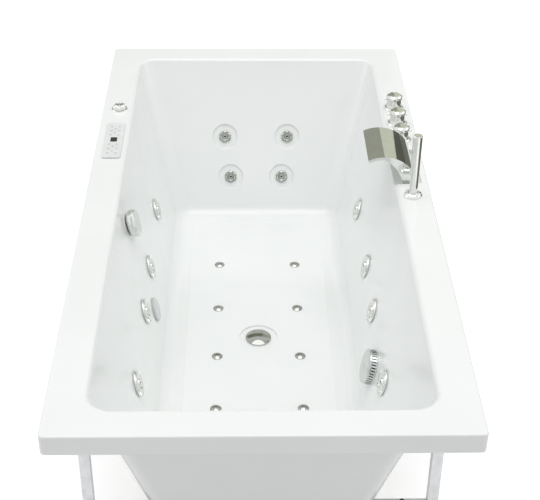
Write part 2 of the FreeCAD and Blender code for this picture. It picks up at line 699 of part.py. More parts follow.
def feet():
    """Levelling feet: each one a pad with its threaded rod."""
    rod_top = RAIL_UNDER + FOOT_NUT_H
    pad = lathe((0, 0), (FOOT_PAD_R, 0), (FOOT_PAD_R, FOOT_PAD_H * 0.4),
                (FOOT_ROD_R * 2, FOOT_PAD_H), (FOOT_ROD_R, FOOT_PAD_H),
                (FOOT_ROD_R, rod_top), (0, rod_top))
    return [moved(pad, x, y) for x, y in foot_places()]


def foot_nuts():
    """Adjusting nut under the cross bar at each foot."""
    nut = hexagon(2 * FOOT_NUT_R, BAR_UNDER - FOOT_NUT_H, BAR_UNDER, FOOT_ROD_R + TURN_FIT)
    return [moved(nut, x, y) for x, y in foot_places()]


# ---------------------------------------------------------------- taps
def deck_escutcheons():
    """Flared base rings of the three valves."""
    r, h = ESCUTCHEON_R, ESCUTCHEON_H
    bore = VALVE_BODY_R
    flare = lathe((bore, 0), (r, 0), (r, h * 0.4), (r - h * 0.35, h * 0.85),
                  (r - h * 0.6, h), (bore, h))
    return group([seated(flare, seat) for seat in VALVE_SEATS])


def valve_bodies():
    """Cartridge bodies through the deck; the two outer ones carry the supply inlets."""
    bodies = []
    top = ESCUTCHEON_H + 2
    for index, seat in enumerate(VALVE_SEATS):
        body = cyl(VALVE_BODY_R, -SHELL_T - VALVE_BODY_L, top)
        body = body.cut(cyl(SPINDLE_R + TURN_FIT, -VALVE_BODY_L / 2, top + OVER))
        if index < SUPPLY_VALVES:
            axis = V(0, 0, inlet_drop())
            face = axis + V(VALVE_BODY_R + INLET_SHOULDER, 0, 0)
            shoulder = rod(INLET_R + INLET_SHOULDER, axis, face)
            body = body.multiFuse([shoulder, rod(INLET_R, axis, face + V(INLET_L, 0, 0))])
        bodies.append(seated(body, seat))
    return group(bodies)


def inlet_drop():
    """Height of the supply inlets' axes, from the deck."""
    return -LIP_DEPTH - 2 * INLET_R - 10


def valve_handle(seat):
    """Cross-type handle with four pegs, a domed cap and the spindle that it turns."""
    low = ESCUTCHEON_H + FACE_GAP
    cap_z = low + HANDLE_H
    hollow_r, foot_r = VALVE_BODY_R + OVER, HANDLE_R + HANDLE_FOOT
    body = lathe((0, low + 2), (hollow_r, low + 2), (hollow_r, low), (foot_r, low), (foot_r, low + 2),
                 (HANDLE_R, low + 6), (HANDLE_R - 1, cap_z), (0, cap_z))
    body = body.fuse(cyl(SPINDLE_R, -VALVE_BODY_L / 2 + 1, low + 3))
    rim_z = cap_z + CAP_H * CAP_RIM
    cap = dome(CAP_R, rim_z, cap_z + CAP_H - rim_z).fuse(cyl(CAP_R, cap_z, rim_z))
    peg_z = low + HANDLE_H * PEG_UP
    pegs = around(4, rod(PEG_R, V(HANDLE_R - 3, 0, peg_z), V(PEG_REACH, 0, peg_z)))
    return seated(body.multiFuse([cap] + pegs), seat)


def spout_arc(r, x):
    """Height, from the deck, of the spout's arc of radius r at x."""
    return SPOUT_CENTRE_Z + math.sqrt(r * r - (x - SPOUT_CENTRE_X) ** 2)


def spout():
    """Waterfall spout: an arched body on the deck whose thin lip reaches over the well."""
    inner_r = SPOUT_R - SPOUT_LIP_T
    foot_z = -NOTCH_DEPTH
    back_x = SPOUT_CENTRE_X + math.sqrt(SPOUT_R ** 2 - (foot_z - SPOUT_CENTRE_Z) ** 2)
    tip = V(SPOUT_TIP_X, 0, spout_arc(SPOUT_R, SPOUT_TIP_X))
    lean = (V(SPOUT_CENTRE_X, 0, SPOUT_CENTRE_Z) - tip).normalize()
    tip_low = tip + lean * SPOUT_LIP_T
    crest_low = V(SPOUT_CENTRE_X, 0, SPOUT_CENTRE_Z + inner_r)
    waist_x = SPOUT_CENTRE_X + SPOUT_WAIST * (SPOUT_FOOT_X - SPOUT_CENTRE_X)
    waist = V(waist_x, 0, spout_arc(inner_r, waist_x) - SPOUT_WAIST_DROP * SPOUT_LIP_T)
    foot = V(SPOUT_FOOT_X, 0, foot_z)
    back = V(back_x, 0, foot_z)
    crown_x = (SPOUT_TIP_X + back_x) / 2
    under_x = (tip_low.x + crest_low.x) / 2
    outline = Part.Wire([
        Part.Arc(tip, V(crown_x, 0, spout_arc(SPOUT_R, crown_x)), back).toShape(),
        Part.LineSegment(back, foot).toShape(),
        Part.Arc(foot, waist, crest_low).toShape(),
        Part.Arc(crest_low, V(under_x, 0, spout_arc(inner_r, under_x)), tip_low).toShape(),
        Part.LineSegment(tip_low, tip).toShape()])
    body = Part.Face(outline).extrude(V(0, SPOUT_WIDTH, 0))
    body = moved(body, y=SPOUT_NEAR_Y)

    def barrel(x, z, r, margin):
        start = V(x, SPOUT_NEAR_Y + margin, z)
        return rod(r, start, start + V(0, SPOUT_WIDTH - 2 * margin, 0))

    far = RIM_HEIGHT
    under = Part.Arc(foot, waist, crest_low).toShape().Curve
    cavity = barrel(SPOUT_CENTRE_X, SPOUT_CENTRE_Z, SPOUT_R - SPOUT_WALL, SPOUT_SLOT_MARGIN)
    cavity = cavity.cut(barrel(under.Center.x, under.Center.z, under.Radius + SPOUT_WALL, 0))
    cavity = cavity.common(box(SPOUT_CENTRE_X + SPOUT_CAVITY_START, far, 0, far, foot_z + SPOUT_WALL, far))
    slot_r = SPOUT_R - SPOUT_LIP_T / 2
    slot = barrel(SPOUT_CENTRE_X, SPOUT_CENTRE_Z, slot_r + SPOUT_SLOT_T / 2, SPOUT_SLOT_MARGIN)
    slot = slot.cut(barrel(SPOUT_CENTRE_X, SPOUT_CENTRE_Z, slot_r - SPOUT_SLOT_T / 2, 0))
    slot = slot.common(box(0, SPOUT_CENTRE_X + SPOUT_SLOT_END, 0, far, 0, far))
    seam = box(SPOUT_CENTRE_X - SPOUT_SEAM_W / 2, SPOUT_CENTRE_X + SPOUT_SEAM_W / 2, 0, far,
               SPOUT_CENTRE_Z + SPOUT_R - SPOUT_SEAM_W / 2, far)
    axis = V(TAP_LINE_X, SPOUT_Y, 0)
    shank_end = axis + UP * (foot_z - SHELL_T - SPOUT_SHANK_L)
    shank = rod(SPOUT_SHANK_R, shank_end, axis + UP * (foot_z + OVER))
    riser = rod(SPOUT_SHANK_R - SPOUT_WALL, shank_end - UP, axis + UP * (foot_z + SPOUT_WALL + OVER))
    return moved(body.fuse(shank).cut([cavity, slot, seam, riser]), z=RIM_HEIGHT)


def handset_holder():
    """Flared ring and sleeve that the hand shower stands in."""
    low = -SHELL_T - HOLDER_SLEEVE_L
    grip = HANDSET_LOW_R + FACE_GAP
    profile = lathe((HOSE_BORE_R, low), (HOLDER_SLEEVE_R, low), (HOLDER_SLEEVE_R, 0), (HOLDER_R, 0),
                    (HOLDER_R, HOLDER_H * 0.35), (HOLDER_R - 3, HOLDER_H * 0.75),
                    (HOLDER_SLEEVE_R, HOLDER_H), (grip, HOLDER_H),
                    (grip, -HANDSET_SEAT_DEPTH), (HOSE_BORE_R, -HANDSET_SEAT_DEPTH))
    return seated(profile, HANDSET_SEAT)


def handset():
    """Stick-type hand shower, hollow, with its spray face towards the far end."""
    low = -HANDSET_SEAT_DEPTH
    stick = lathe((0, low), (HANDSET_LOW_R, low), (HANDSET_LOW_R, HOLDER_H + 2),
                  (HANDSET_TOP_R, HANDSET_TOP - 2), (HANDSET_TOP_R - 1.5, HANDSET_TOP), (0, HANDSET_TOP))
    r = HANDSET_TOP_R
    low_z, high_z = (HANDSET_TOP - down for down in SPRAY_FROM_TOP)
    face = box(-r, r, r - SPRAY_FLAT, r + OVER, low_z, high_z)
    water = cyl(HOSE_BORE_R - 2, low - OVER, high_z)
    rows = [low_z + SPRAY_PITCH * (i + 1) for i in range(SPRAY_ROWS)]
    nozzles = [rod(SPRAY_HOLE_R, V(x, 0, z), V(x, r + OVER, z))
               for x in (-SPRAY_SPREAD, 0, SPRAY_SPREAD) for z in rows]
    return seated(stick.cut([face, water] + nozzles), HANDSET_SEAT)


def deck_nuts():
    """Clamping nuts under the deck for the valves, spout, hand shower and air control."""
    def nut(bore, seat):
        return seated(hexagon(2 * DECK_NUT_R, -SHELL_T - DECK_NUT_H, -SHELL_T, bore), seat)
    nuts = [nut(VALVE_BODY_R, seat) for seat in VALVE_SEATS]
    nuts += [nut(SPOUT_SHANK_R, SPOUT_SEAT), nut(HOLDER_SLEEVE_R, HANDSET_SEAT),
             nut(AIR_BODY_R, AIR_SEAT)]
    return group(nuts)


def mixer_pipes():
    """Pipes under the deck: hot and cold to the diverter, and the diverter to the spout."""
    z = DECK_UNDER - DECK_NUT_H - SUPPLY_DROP
    stops = list(VALVE_Y) + [SPOUT_Y]
    pipes = []
    for far, near in zip(stops, stops[1:]):
        near_r = SPOUT_SHANK_R if near == SPOUT_Y else VALVE_BODY_R
        start, end = V(TAP_LINE_X, far, z), V(TAP_LINE_X, near, z)
        pipe = rod(SUPPLY_PIPE_R, start, end).cut(
            [rod(SUPPLY_PIPE_R - SUPPLY_PIPE_WALL, start, end),
             cyl(VALVE_BODY_R, 0, RIM_HEIGHT, TAP_LINE_X, far),
             cyl(near_r, 0, RIM_HEIGHT, TAP_LINE_X, near)])
        pipes.append(pipe)
    return group(pipes)


# ---------------------------------------------------------------- air control and panel
def air_control_body():
    """Air valve through the deck, with its flange."""
    low = -SHELL_T - AIR_BODY_L
    body = lathe((0, low), (AIR_BODY_R, low), (AIR_BODY_R, 0), (AIR_FLANGE_R, 0),
                 (AIR_FLANGE_R, AIR_FLANGE_H * 0.6), (AIR_FLANGE_R - 1, AIR_FLANGE_H),
                 (AIR_STEM_R + TURN_FIT, AIR_FLANGE_H), (AIR_STEM_R + TURN_FIT, -AIR_BODY_L / 2),
                 (0, -AIR_BODY_L / 2))
    return seated(body, AIR_SEAT)


def air_control_knob():
    """Domed, ribbed knob on its stem."""
    low = AIR_FLANGE_H + FACE_GAP
    rim_z = low + AIR_KNOB_H * AIR_KNOB_RIM
    knob = cyl(AIR_KNOB_R, low, rim_z).fuse(dome(AIR_KNOB_R, rim_z, low + AIR_KNOB_H - rim_z))
    flute = Part.makeCylinder(AIR_FLUTE_R, AIR_KNOB_H * 2, V(AIR_KNOB_R + AIR_FLUTE_OUT, 0, low - OVER))
    flute.rotate(V(AIR_KNOB_R, 0, low), V(0, 1, 0), -AIR_FLUTE_LEAN)
    knob = knob.cut(around(AIR_FLUTES, flute))
    return seated(knob.fuse(cyl(AIR_STEM_R, -AIR_BODY_L / 2 + 1, low + 2)), AIR_SEAT)


def control_panel():
    """Raised keypad with its box in a cut-out of the deck."""
    half_x, half_y = PANEL_WIDTH / 2, PANEL_LENGTH / 2
    plate = rounded_plate(half_x, half_y, 0, PANEL_H, PANEL_CORNER_R)
    top_loop = [e for e in plate.Edges if e.BoundBox.ZMin > PANEL_H - 0.01]
    plate = plate.makeFillet(PANEL_EDGE_R, top_loop)
    recess = display_block(PANEL_H + OVER)
    box_x, box_y, low = PANEL_BOX_WIDTH / 2, PANEL_BOX_LENGTH / 2, -SHELL_T - PANEL_BOX_DEPTH
    tray = box(-box_x, box_x, -box_y, box_y, low, 0)
    in_x, in_y = box_x - PANEL_BOX_WALL, box_y - PANEL_BOX_WALL
    inside = box(-in_x, in_x, -in_y, in_y, low + PANEL_BOX_WALL, OVER)
    return seated(plate.cut(recess).fuse(tray.cut(inside)), PANEL_SEAT)


def display_block(top):
    """Block of the display, from the floor of its recess to a given height."""
    return box(-DISPLAY_X / 2, DISPLAY_X / 2, -DISPLAY_Y / 2, DISPLAY_Y / 2, PANEL_H - DISPLAY_T, top)


def panel_display():
    """Dark display window, flush in the panel."""
    return seated(display_block(PANEL_H), PANEL_SEAT)


# ---------------------------------------------------------------- jets, light, suction
def jet_body(flange_r, tube_r, bore_r, length):
    """Wall fitting: flange on the wet side, tube through the shell, closed at the back."""
    back = -SHELL_T - length
    return lathe((0, back), (tube_r, back), (tube_r, 0), (flange_r, 0), (flange_r, JET_FLANGE_T),
                 (bore_r, JET_FLANGE_T), (bore_r, back + JET_BACK_T), (0, back + JET_BACK_T))


def side_jet_bodies():
    """Fittings of the eight wall jets, with their air ports."""
    body = jet_body(JET_FLANGE_R, JET_TUBE_R, JET_BORE_R, JET_BODY_L)
    port = rod(AIR_R, V(0, JET_TUBE_R - 3, -AIR_BEHIND), V(0, JET_TUBE_R + 4, -AIR_BEHIND))
    return group([seated(body.fuse(port), seat) for seat in JET_SEATS])


def side_jet_face(seat):
    """Chrome face that turns on the fitting, with a directional nozzle in its middle."""
    low = JET_FLANGE_T + FACE_GAP
    r, t = JET_FACE_R, JET_FACE_T
    neck_r = JET_BORE_R - TURN_FIT
    face = lathe((JET_NOZZLE_R, -JET_NECK_L), (neck_r, -JET_NECK_L), (neck_r, low), (r, low),
                 (r, low + t * 0.35), (r - 2.5, low + t * 0.85), (r * 0.55, low + t),
                 (r * 0.42, low + t * 0.55), (r * 0.3, low + t * 0.55), (r * 0.26, low + t * 1.1),
                 (JET_NOZZLE_R + 1, low + t * 1.1), (JET_NOZZLE_R, low + t))
    scallops = around(ROTOR_LOBES, Part.makeCylinder(JET_SCALLOP_R, t * 2, V(r * 0.36, 0, -4)))
    return seated(face.cut(scallops), seat)


def back_jet_bodies():
    """Fittings of the four small jets in the backrest."""
    body = jet_body(BACK_FLANGE_R, BACK_TUBE_R, BACK_BORE_R, BACK_BODY_L)
    return group([seated(body, seat) for seat in BACK_SEATS])


def back_jet_rotor(seat):
    """Scalloped rosette that spins in the flow."""
    low = JET_FLANGE_T + FACE_GAP
    r, t, neck_r = ROTOR_R, ROTOR_T, BACK_BORE_R - TURN_FIT
    rotor = lathe((ROTOR_HOLE_R, -ROTOR_NECK_L), (neck_r, -ROTOR_NECK_L), (neck_r, low), (r, low),
                  (r, low + t * 0.5), (r * 0.8, low + t), (r * 0.45, low + t * 0.7),
                  (r * 0.38, low + t * 1.1), (ROTOR_HOLE_R, low + t))
    lobe = Part.makeCylinder(ROTOR_SCALLOP_R, t * 2, V(r + 0.6, 0, low - OVER))
    lobes = around(ROTOR_LOBES, lobe)
    return seated(rotor.cut(lobes), seat)


def wall_nuts():
    """Nuts that clamp the wall, floor and waste fittings from behind the shell."""
    def nut(tube_r, seat):
        return seated(ring(tube_r + WALL_NUT_RIM, tube_r, -SHELL_T - WALL_NUT_H, -SHELL_T), seat)
    nuts = [nut(JET_TUBE_R, seat) for seat in JET_SEATS + [LIGHT_SEAT]]
    nuts += [nut(BACK_TUBE_R, seat) for seat in BACK_SEATS]
    nuts += [nut(SUCTION_TUBE_R, SUCTION_SEAT), nut(OVERFLOW_TUBE_R, OVERFLOW_SEAT)]
    return group(nuts)


def light_body():
    """Fitting behind the light's lens."""
    return seated(jet_body(JET_FLANGE_R, JET_TUBE_R, JET_BORE_R, JET_BODY_L), LIGHT_SEAT)


def light_lens():
    """Plain lens of the underwater light."""
    low, r = JET_FLANGE_T, LIGHT_R
    return seated(lathe((0, -8), (JET_BORE_R, -8), (JET_BORE_R, low), (r, low), (r, low + LIGHT_T * 0.4),
                        (r - 3, low + LIGHT_T * 0.8), (0, low + LIGHT_T)), LIGHT_SEAT)


def suction_body():
    """Fitting behind the suction cover."""
    back = -SHELL_T - SUCTION_BODY_L
    tube, bore = SUCTION_TUBE_R, SUCTION_BORE_R
    return seated(lathe((0, back), (tube, back), (tube, 0), (SUCTION_R - 4, 0), (SUCTION_R - 4, 2),
                        (bore, 2), (bore, back + 4), (0, back + 4)), SUCTION_SEAT)


def suction_cover():
    """Drum-shaped cover with slots round its rim, screwed on through its middle."""
    r, h, w = SUCTION_R, SUCTION_H, SUCTION_WALL
    drum = lathe((0, h - w), (r - w, h - w), (r - w, 0), (r, 0), (r, h - 3), (r - 3, h), (0, h))
    boss = cyl(SUCTION_WEB, 2, h - w + OVER)
    web = box(-SUCTION_BORE_R - 4, SUCTION_BORE_R + 4, -SUCTION_WEB / 2, SUCTION_WEB / 2, 2, 5)
    slot = box(r - w - OVER, r + OVER, -SUCTION_SLOT_W / 2, SUCTION_SLOT_W / 2, 4, h - 6)
    slots = around(SUCTION_SLOTS, slot)
    return seated(drum.cut(slots).multiFuse([boss, web]), SUCTION_SEAT)


# ---------------------------------------------------------------- waste and overflow
def overflow_body():
    """Overflow fitting, with a spout at its lower side for the pipe."""
    back = -SHELL_T - OVERFLOW_BODY_L
    tube, hole = OVERFLOW_TUBE_R, OVERFLOW_SHAFT_R + TURN_FIT
    body = lathe((hole, back), (tube, back), (tube, 0), (OVERFLOW_FLANGE_R, 0),
                 (OVERFLOW_FLANGE_R, 2), (tube - 3, 2), (tube - 3, back + 4), (hole, back + 4))
    y, z = overflow_pipe_top()
    port = rod(OVERFLOW_PIPE_R, V(0, -tube + 6, z), V(0, y, z)).cut(cyl(tube - 3, back, 0))
    bore = rod(OVERFLOW_PIPE_R - PIPE_WALL, V(0, -tube / 2, z), V(0, y - 1, z))
    return seated(body.fuse(port).cut(bore), OVERFLOW_SEAT)


def overflow_pipe_top():
    """Where the overflow pipe starts, in the overflow seat's own axes, as (y, z)."""
    return -OVERFLOW_TUBE_R - 14, -SHELL_T - WALL_NUT_H - OVERFLOW_PIPE_R - 2


def overflow_knob():
    """Thick faceted knob that turns to lift the plug; water passes behind it."""
    low = JET_FLANGE_T + OVERFLOW_STAND
    r, h = OVERFLOW_KNOB_R, OVERFLOW_KNOB_H
    knob = lathe((0, low), (r * 0.8, low), (r * 0.96, low + h * 0.3), (r, low + h * 0.8),
                 (r * 0.93, low + h), (0, low + h))
    flat = box(r * 0.94, r + 5, -r, r, low - OVER, low + h * 0.72)
    knob = knob.cut(around(OVERFLOW_FACETS, flat))
    shaft = cyl(OVERFLOW_SHAFT_R, -SHELL_T - OVERFLOW_BODY_L - 6, low + OVER)
    return seated(knob.fuse(shaft), OVERFLOW_SEAT)


def drain_flange():
    """Chrome seat in the floor, with a cross that guides the plug's stem."""
    tube = ring(DRAIN_TUBE_R, DRAIN_BORE_R, -SHELL_T - DRAIN_TUBE_L, 0.5)
    lip = ring(DRAIN_LIP_R, DRAIN_BORE_R, 0, DRAIN_LIP_T)
    low = -SHELL_T - DRAIN_TUBE_L
    reach, half = DRAIN_BORE_R + OVER, GUIDE_ARM_T / 2
    arms = [box(-reach, reach, -half, half, low, low + GUIDE_ARM_H),
            box(-half, half, -reach, reach, low, low + GUIDE_ARM_H),
            cyl(PLUG_STEM_R + GUIDE_ARM_T, low, low + GUIDE_HUB_H)]
    bore = cyl(PLUG_STEM_R + TURN_FIT, low - OVER, low + GUIDE_HUB_H + OVER)
    solid = tube.multiFuse([lip] + arms).cut(bore)
    return seated(solid, DRAIN_SEAT)


def drain_plug():
    """Domed cap with the stem that lifts it."""
    low = DRAIN_LIP_T + FACE_GAP
    rim_z = low + DRAIN_CAP_T
    cap = cyl(DRAIN_CAP_R, low, rim_z).fuse(dome(DRAIN_CAP_R, rim_z, DRAIN_CAP_DOME))
    stem = cyl(PLUG_STEM_R, low - PLUG_STEM_L - PLUG_LIFT, low + OVER)
    return seated(cap.fuse(stem), DRAIN_SEAT)


def waste_port_z():
    """Height of the overflow pipe's axis where it meets the waste body."""
    return RAIL_UNDER - OVERFLOW_PIPE_R - 4


def overflow_start():
    """Point where the overflow pipe leaves its fitting."""
    y, z = overflow_pipe_top()
    return at(OVERFLOW_SEAT, 0, y, z)


def overflow_corner():
    """Point where the overflow pipe, run parallel to the wall, turns to the waste."""
    y, z = overflow_pipe_top()
    start = overflow_start()
    down = (at(OVERFLOW_SEAT, 0, y - 1, z) - start).normalize()
    return start + down * ((waste_port_z() - start.z) / down.z)


def waste_side():
    """Direction, in plan, from the drain to the overflow pipe."""
    corner = overflow_corner()
    return V(corner.x, corner.y - DRAIN_Y, 0).normalize()


def waste_body():
    """Cup screwed to the drain flange, with the overflow port and the outlet below."""
    x, y = DRAIN_SEAT.origin.x, DRAIN_SEAT.origin.y
    top = DRAIN_SEAT.origin.z - SHELL_T
    low = top - WASTE_CUP_L
    side = waste_side()
    port_z = waste_port_z()
    cup = cyl(WASTE_CUP_R, low, top, x, y)
    outlet = cyl(OUTLET_R, low - OUTLET_L, low + OVER, x, y)
    middle, reach = V(x, y, port_z), WASTE_CUP_R + WASTE_PORT_L
    port = rod(OVERFLOW_PIPE_R, middle, middle + side * reach)
    hollow = [cyl(WASTE_CUP_R - WASTE_WALL, low + WASTE_WALL, top - WASTE_WALL, x, y),
              cyl(DRAIN_TUBE_R, top - WASTE_WALL - OVER, top + OVER, x, y),
              cyl(OUTLET_R - WASTE_WALL, low - OUTLET_L - OVER, low + WASTE_WALL + OVER, x, y),
              rod(OVERFLOW_PIPE_R - PIPE_WALL, middle, middle + side * (reach + OVER))]
    return cup.multiFuse([outlet, port]).cut(hollow)


def overflow_pipe():
    """Pipe from the overflow, down along the wall and across to the waste."""
    end = V(0, DRAIN_Y, waste_port_z()) + waste_side() * (WASTE_CUP_R + WASTE_PORT_L)
    points = [overflow_start(), overflow_corner(), end]
    bore = sweep(points, OVERFLOW_PIPE_R - PIPE_WALL, OVERFLOW_BEND_R)
    return sweep(points, OVERFLOW_PIPE_R, OVERFLOW_BEND_R).cut(bore)


def plug_cable():
    """Sheathed cable beside the overflow pipe, from the overflow fitting to the waste body."""
    side = waste_side()
    beside = V(side.y, -side.x, 0) * (OVERFLOW_PIPE_R + CABLE_R + CABLE_GAP)
    corner = overflow_corner() + beside
    y, z = overflow_pipe_top()
    start = at(OVERFLOW_SEAT, beside.y, -OVERFLOW_TUBE_R / 2, z)
    cable = sweep([start, corner, V(0, DRAIN_Y, corner.z) + beside], CABLE_R, CABLE_BEND_R)
    fitting = seated(cyl(OVERFLOW_TUBE_R, -SHELL_T - OVERFLOW_BODY_L, 0), OVERFLOW_SEAT)
    return cable.cut([fitting, cyl(WASTE_CUP_R, 0, RIM_HEIGHT, 0, DRAIN_Y)])


# ---------------------------------------------------------------- floor injectors and blower
def injector_caps():
    """Domed chrome caps on hollow stems."""
    rim = INJECTOR_RIM_H
    shape = dome(INJECTOR_CAP_R, rim, INJECTOR_CAP_H - rim).fuse(cyl(INJECTOR_CAP_R, 0, rim))
    shape = shape.fuse(cyl(INJECTOR_STEM_R, -SHELL_T, OVER))
    hole = cyl(INJECTOR_HOLE_R, -OVER, INJECTOR_CAP_H + OVER, INJECTOR_HOLE_X)
    shape = shape.cut(around(INJECTOR_HOLES, hole))
    return group([seated(shape, seat) for seat in INJECTOR_SEATS])


def blower_pipe_z():
    """Height of the air pipes between the rails."""
    return BOARD_UNDER - BLOWER_PIPE_R - 6


def injector_bodies():
    """Nut and tail of each injector, inside its hole in the board."""
    tail_end = blower_pipe_z() + BLOWER_PIPE_R + BLOWER_STUB - FLOOR_Z
    low = -SHELL_T - WALL_NUT_H
    shape = cyl(INJECTOR_NUT_R, low, -SHELL_T).fuse(cyl(INJECTOR_TAIL_R, tail_end, low + OVER))
    return group([seated(shape, seat) for seat in INJECTOR_SEATS])


def blower_pipes():
    """Air pipes from the blower to both rows of injectors."""
    z, r = blower_pipe_z(), BLOWER_PIPE_R
    bend = 1.9 * r
    y_cross = MACHINE_BOARD_Y - 4 * r
    y_tee = y_cross - BLOWER_TEE
    y_join = y_tee - 2 * bend
    x, over = blower_port()
    start = V(x, BLOWER_Y - BLOWER_R - BLOWER_SPIGOT, over)
    feed = [start, V(x, y_cross, over), V(-INJECTOR_X, y_cross, over), V(-INJECTOR_X, y_cross, z),
            V(-INJECTOR_X, y_join, z)]
    cross = [V(-INJECTOR_X, y_tee, z), V(INJECTOR_X, y_tee, z), V(INJECTOR_X, y_join, z)]
    pipes = [pipework([(feed, r, bend), (cross, r, bend)], [])]
    for side in (-1, 1):
        x = side * INJECTOR_X
        run = [V(x, y_join, z), V(x, INJECTOR_Y[-1] - 2 * INJECTOR_TAIL_R, z)]
        stubs = [(V(x, y, z), V(x, y, z + r + BLOWER_STUB), INJECTOR_TAIL_R) for y in INJECTOR_Y]
        pipes.append(pipework([(run, r, bend)], stubs))
    return group(pipes)


def blower_port():
    """X and height of the blower's outlet."""
    return BLOWER_X + BLOWER_R / 2, BOARD_TOP + BLOWER_PIPE_R + BLOWER_PORT_UP


def blower_housing():
    """Scroll housing with the motor's cover on top, hollow for the fan."""
    base = BOARD_TOP
    w = BLOWER_WALL
    top = base + BLOWER_H
    outer = cyl(BLOWER_R, base, top).fuse(cyl(BLOWER_MOTOR_R, top - OVER, top + BLOWER_MOTOR_H))
    inner = [cyl(BLOWER_R - w, base + w, top - w),
             cyl(BLOWER_MOTOR_R - w, top - w - OVER, top + BLOWER_MOTOR_H - w)]
    housing = moved(outer.cut(inner), BLOWER_X, BLOWER_Y)
    r = BLOWER_PIPE_R
    x, z = blower_port()
    mouth = BLOWER_Y - BLOWER_R - BLOWER_SPIGOT
    spigot = rod(r + 4, V(x, mouth, z), V(x, BLOWER_Y - BLOWER_R / 2, z))
    spigot = spigot.cut(cyl(BLOWER_R - w, base, top, BLOWER_X, BLOWER_Y))
    bearing = ring(10, SHAFT_R / 2 + TURN_FIT, base + w - OVER, base + 2 * w)
    passage = rod(r - PIPE_WALL, V(x, mouth - OVER, z), V(x, BLOWER_Y - BLOWER_R / 2, z))
    return housing.multiFuse([spigot, moved(bearing, BLOWER_X, BLOWER_Y)]).cut(passage)


def blower_fan():
    """Fan wheel and motor rotor on one shaft."""
    base = BOARD_TOP
    top = base + BLOWER_H
    wheel_z, wheel_r = base + BLOWER_WALL + FAN_GAP, BLOWER_R - FAN_RIM_GAP
    wheel = cyl(wheel_r, wheel_z, wheel_z + BLOWER_WALL)
    blades = around(FAN_BLADES, box(FAN_EYE_R, wheel_r - 1, -1, 1, wheel_z + 2, top - FAN_RIM_GAP))
    rotor = cyl(BLOWER_MOTOR_R - 14, top + 4, top + BLOWER_MOTOR_H - 16)
    shaft = cyl(SHAFT_R / 2, base + BLOWER_WALL + 0.2, top + BLOWER_MOTOR_H - 8)
    return moved(wheel.multiFuse(blades + [rotor, shaft]), BLOWER_X, BLOWER_Y)


# ---------------------------------------------------------------- pump, heater and water
def along_x(shape):
    """Turn a shape made about Z so that it lies along X on the pump's axis."""
    copy = shape.copy()
    copy.rotate(V(), V(0, 1, 0), 90)
    copy.translate(V(0, PUMP_Y, PUMP_Z))
    return copy


def pump_foot(x0, x1, half):
    """Block between the board and the underside of a casing."""
    low = PUMP_Z - PUMP_R
    return box(x0, x1, PUMP_Y - half, PUMP_Y + half, low - PUMP_FOOT_H, low + PUMP_FOOT_UP)


def pump_motor():
    """Finned motor casing with end bearings and a foot on the board."""
    x0, x1 = MOTOR_X
    r, w = PUMP_R, CASING_WALL
    casing = cyl(r - 4, x0, x1).cut(cyl(r - 4 - w, x0 + w, x1 - w))
    count = int((x1 - x0 - 2 * MOTOR_FINS_END) / MOTOR_FIN_PITCH)
    starts = [x0 + MOTOR_FINS_END + MOTOR_FIN_PITCH * i for i in range(count)]
    fins = [ring(r, r - CASING_WALL, x, x + MOTOR_FIN_T) for x in starts]
    casing = casing.multiFuse(fins).cut(cyl(SHAFT_R + TURN_FIT, x0 + OVER, x1 + OVER))
    foot = pump_foot(x0 + MOTOR_FOOT_END, x1 - MOTOR_FOOT_END, PUMP_FOOT_HALF[0])
    foot = foot.cut(along_x(cyl(r - CASING_WALL, x0 - OVER, x1 + OVER)))
    return along_x(casing).fuse(foot)


def pump_volute():
    """Wet end: volute with the suction union in front and the outlet on top."""
    x0, x1 = VOLUTE_X
    r, w = PUMP_R, CASING_WALL
    body = cyl(r, x0, x1).cut(cyl(r - w, x0 + w, x1 - w))
    inlet = cyl(PUMP_INLET_R, x1 - OVER, x1 + PUMP_INLET_L)
    suction = cyl(SUCTION_PIPE_R - PIPE_WALL, x1 - w - OVER, x1 + PUMP_INLET_L + OVER)
    bearing = cyl(SHAFT_R + TURN_FIT, x0 - OVER, x0 + w + OVER)
    body = along_x(body.fuse(inlet).cut([suction, bearing]))
    x = (x0 + x1) / 2
    outlet = cyl(PUMP_OUTLET_R, PUMP_Z, pump_outlet_z(), x, HEADER_Y)
    cavity = along_x(cyl(r - w, x0 + w, x1 - w))
    passage = cyl(PUMP_RISER_R - PIPE_WALL, PUMP_Z, pump_outlet_z() + OVER, x, HEADER_Y)
    foot = pump_foot(x0 + VOLUTE_FOOT_END, x1 - VOLUTE_FOOT_END, PUMP_FOOT_HALF[1])
    foot = foot.cut(along_x(cyl(r - OVER, x0 - OVER, x1 + OVER)))
    return body.multiFuse([outlet.cut(cavity), foot]).cut(passage)


def pump_outlet_z():
    """Top of the pump's outlet."""
    return PUMP_Z + PUMP_R - PUMP_OUTLET_DROP


def pump_rotor():
    """Shaft with the motor's rotor and the impeller."""
    x0, x1 = MOTOR_X
    shaft = cyl(SHAFT_R, x0 + 2, VOLUTE_X[1] - CASING_WALL - 14)
    rotor = cyl(PUMP_R - 26, x0 + 34, x1 - 34)
    wheel_x = VOLUTE_X[0] + CASING_WALL + 10
    impeller = cyl(PUMP_R - 16, wheel_x, wheel_x + IMPELLER_T)
    blade = box(14, PUMP_R - 17, -2, 2, wheel_x + IMPELLER_T - OVER, wheel_x + 20)
    blades = around(IMPELLER_BLADES, blade)
    return along_x(shaft.multiFuse([rotor, impeller] + blades))


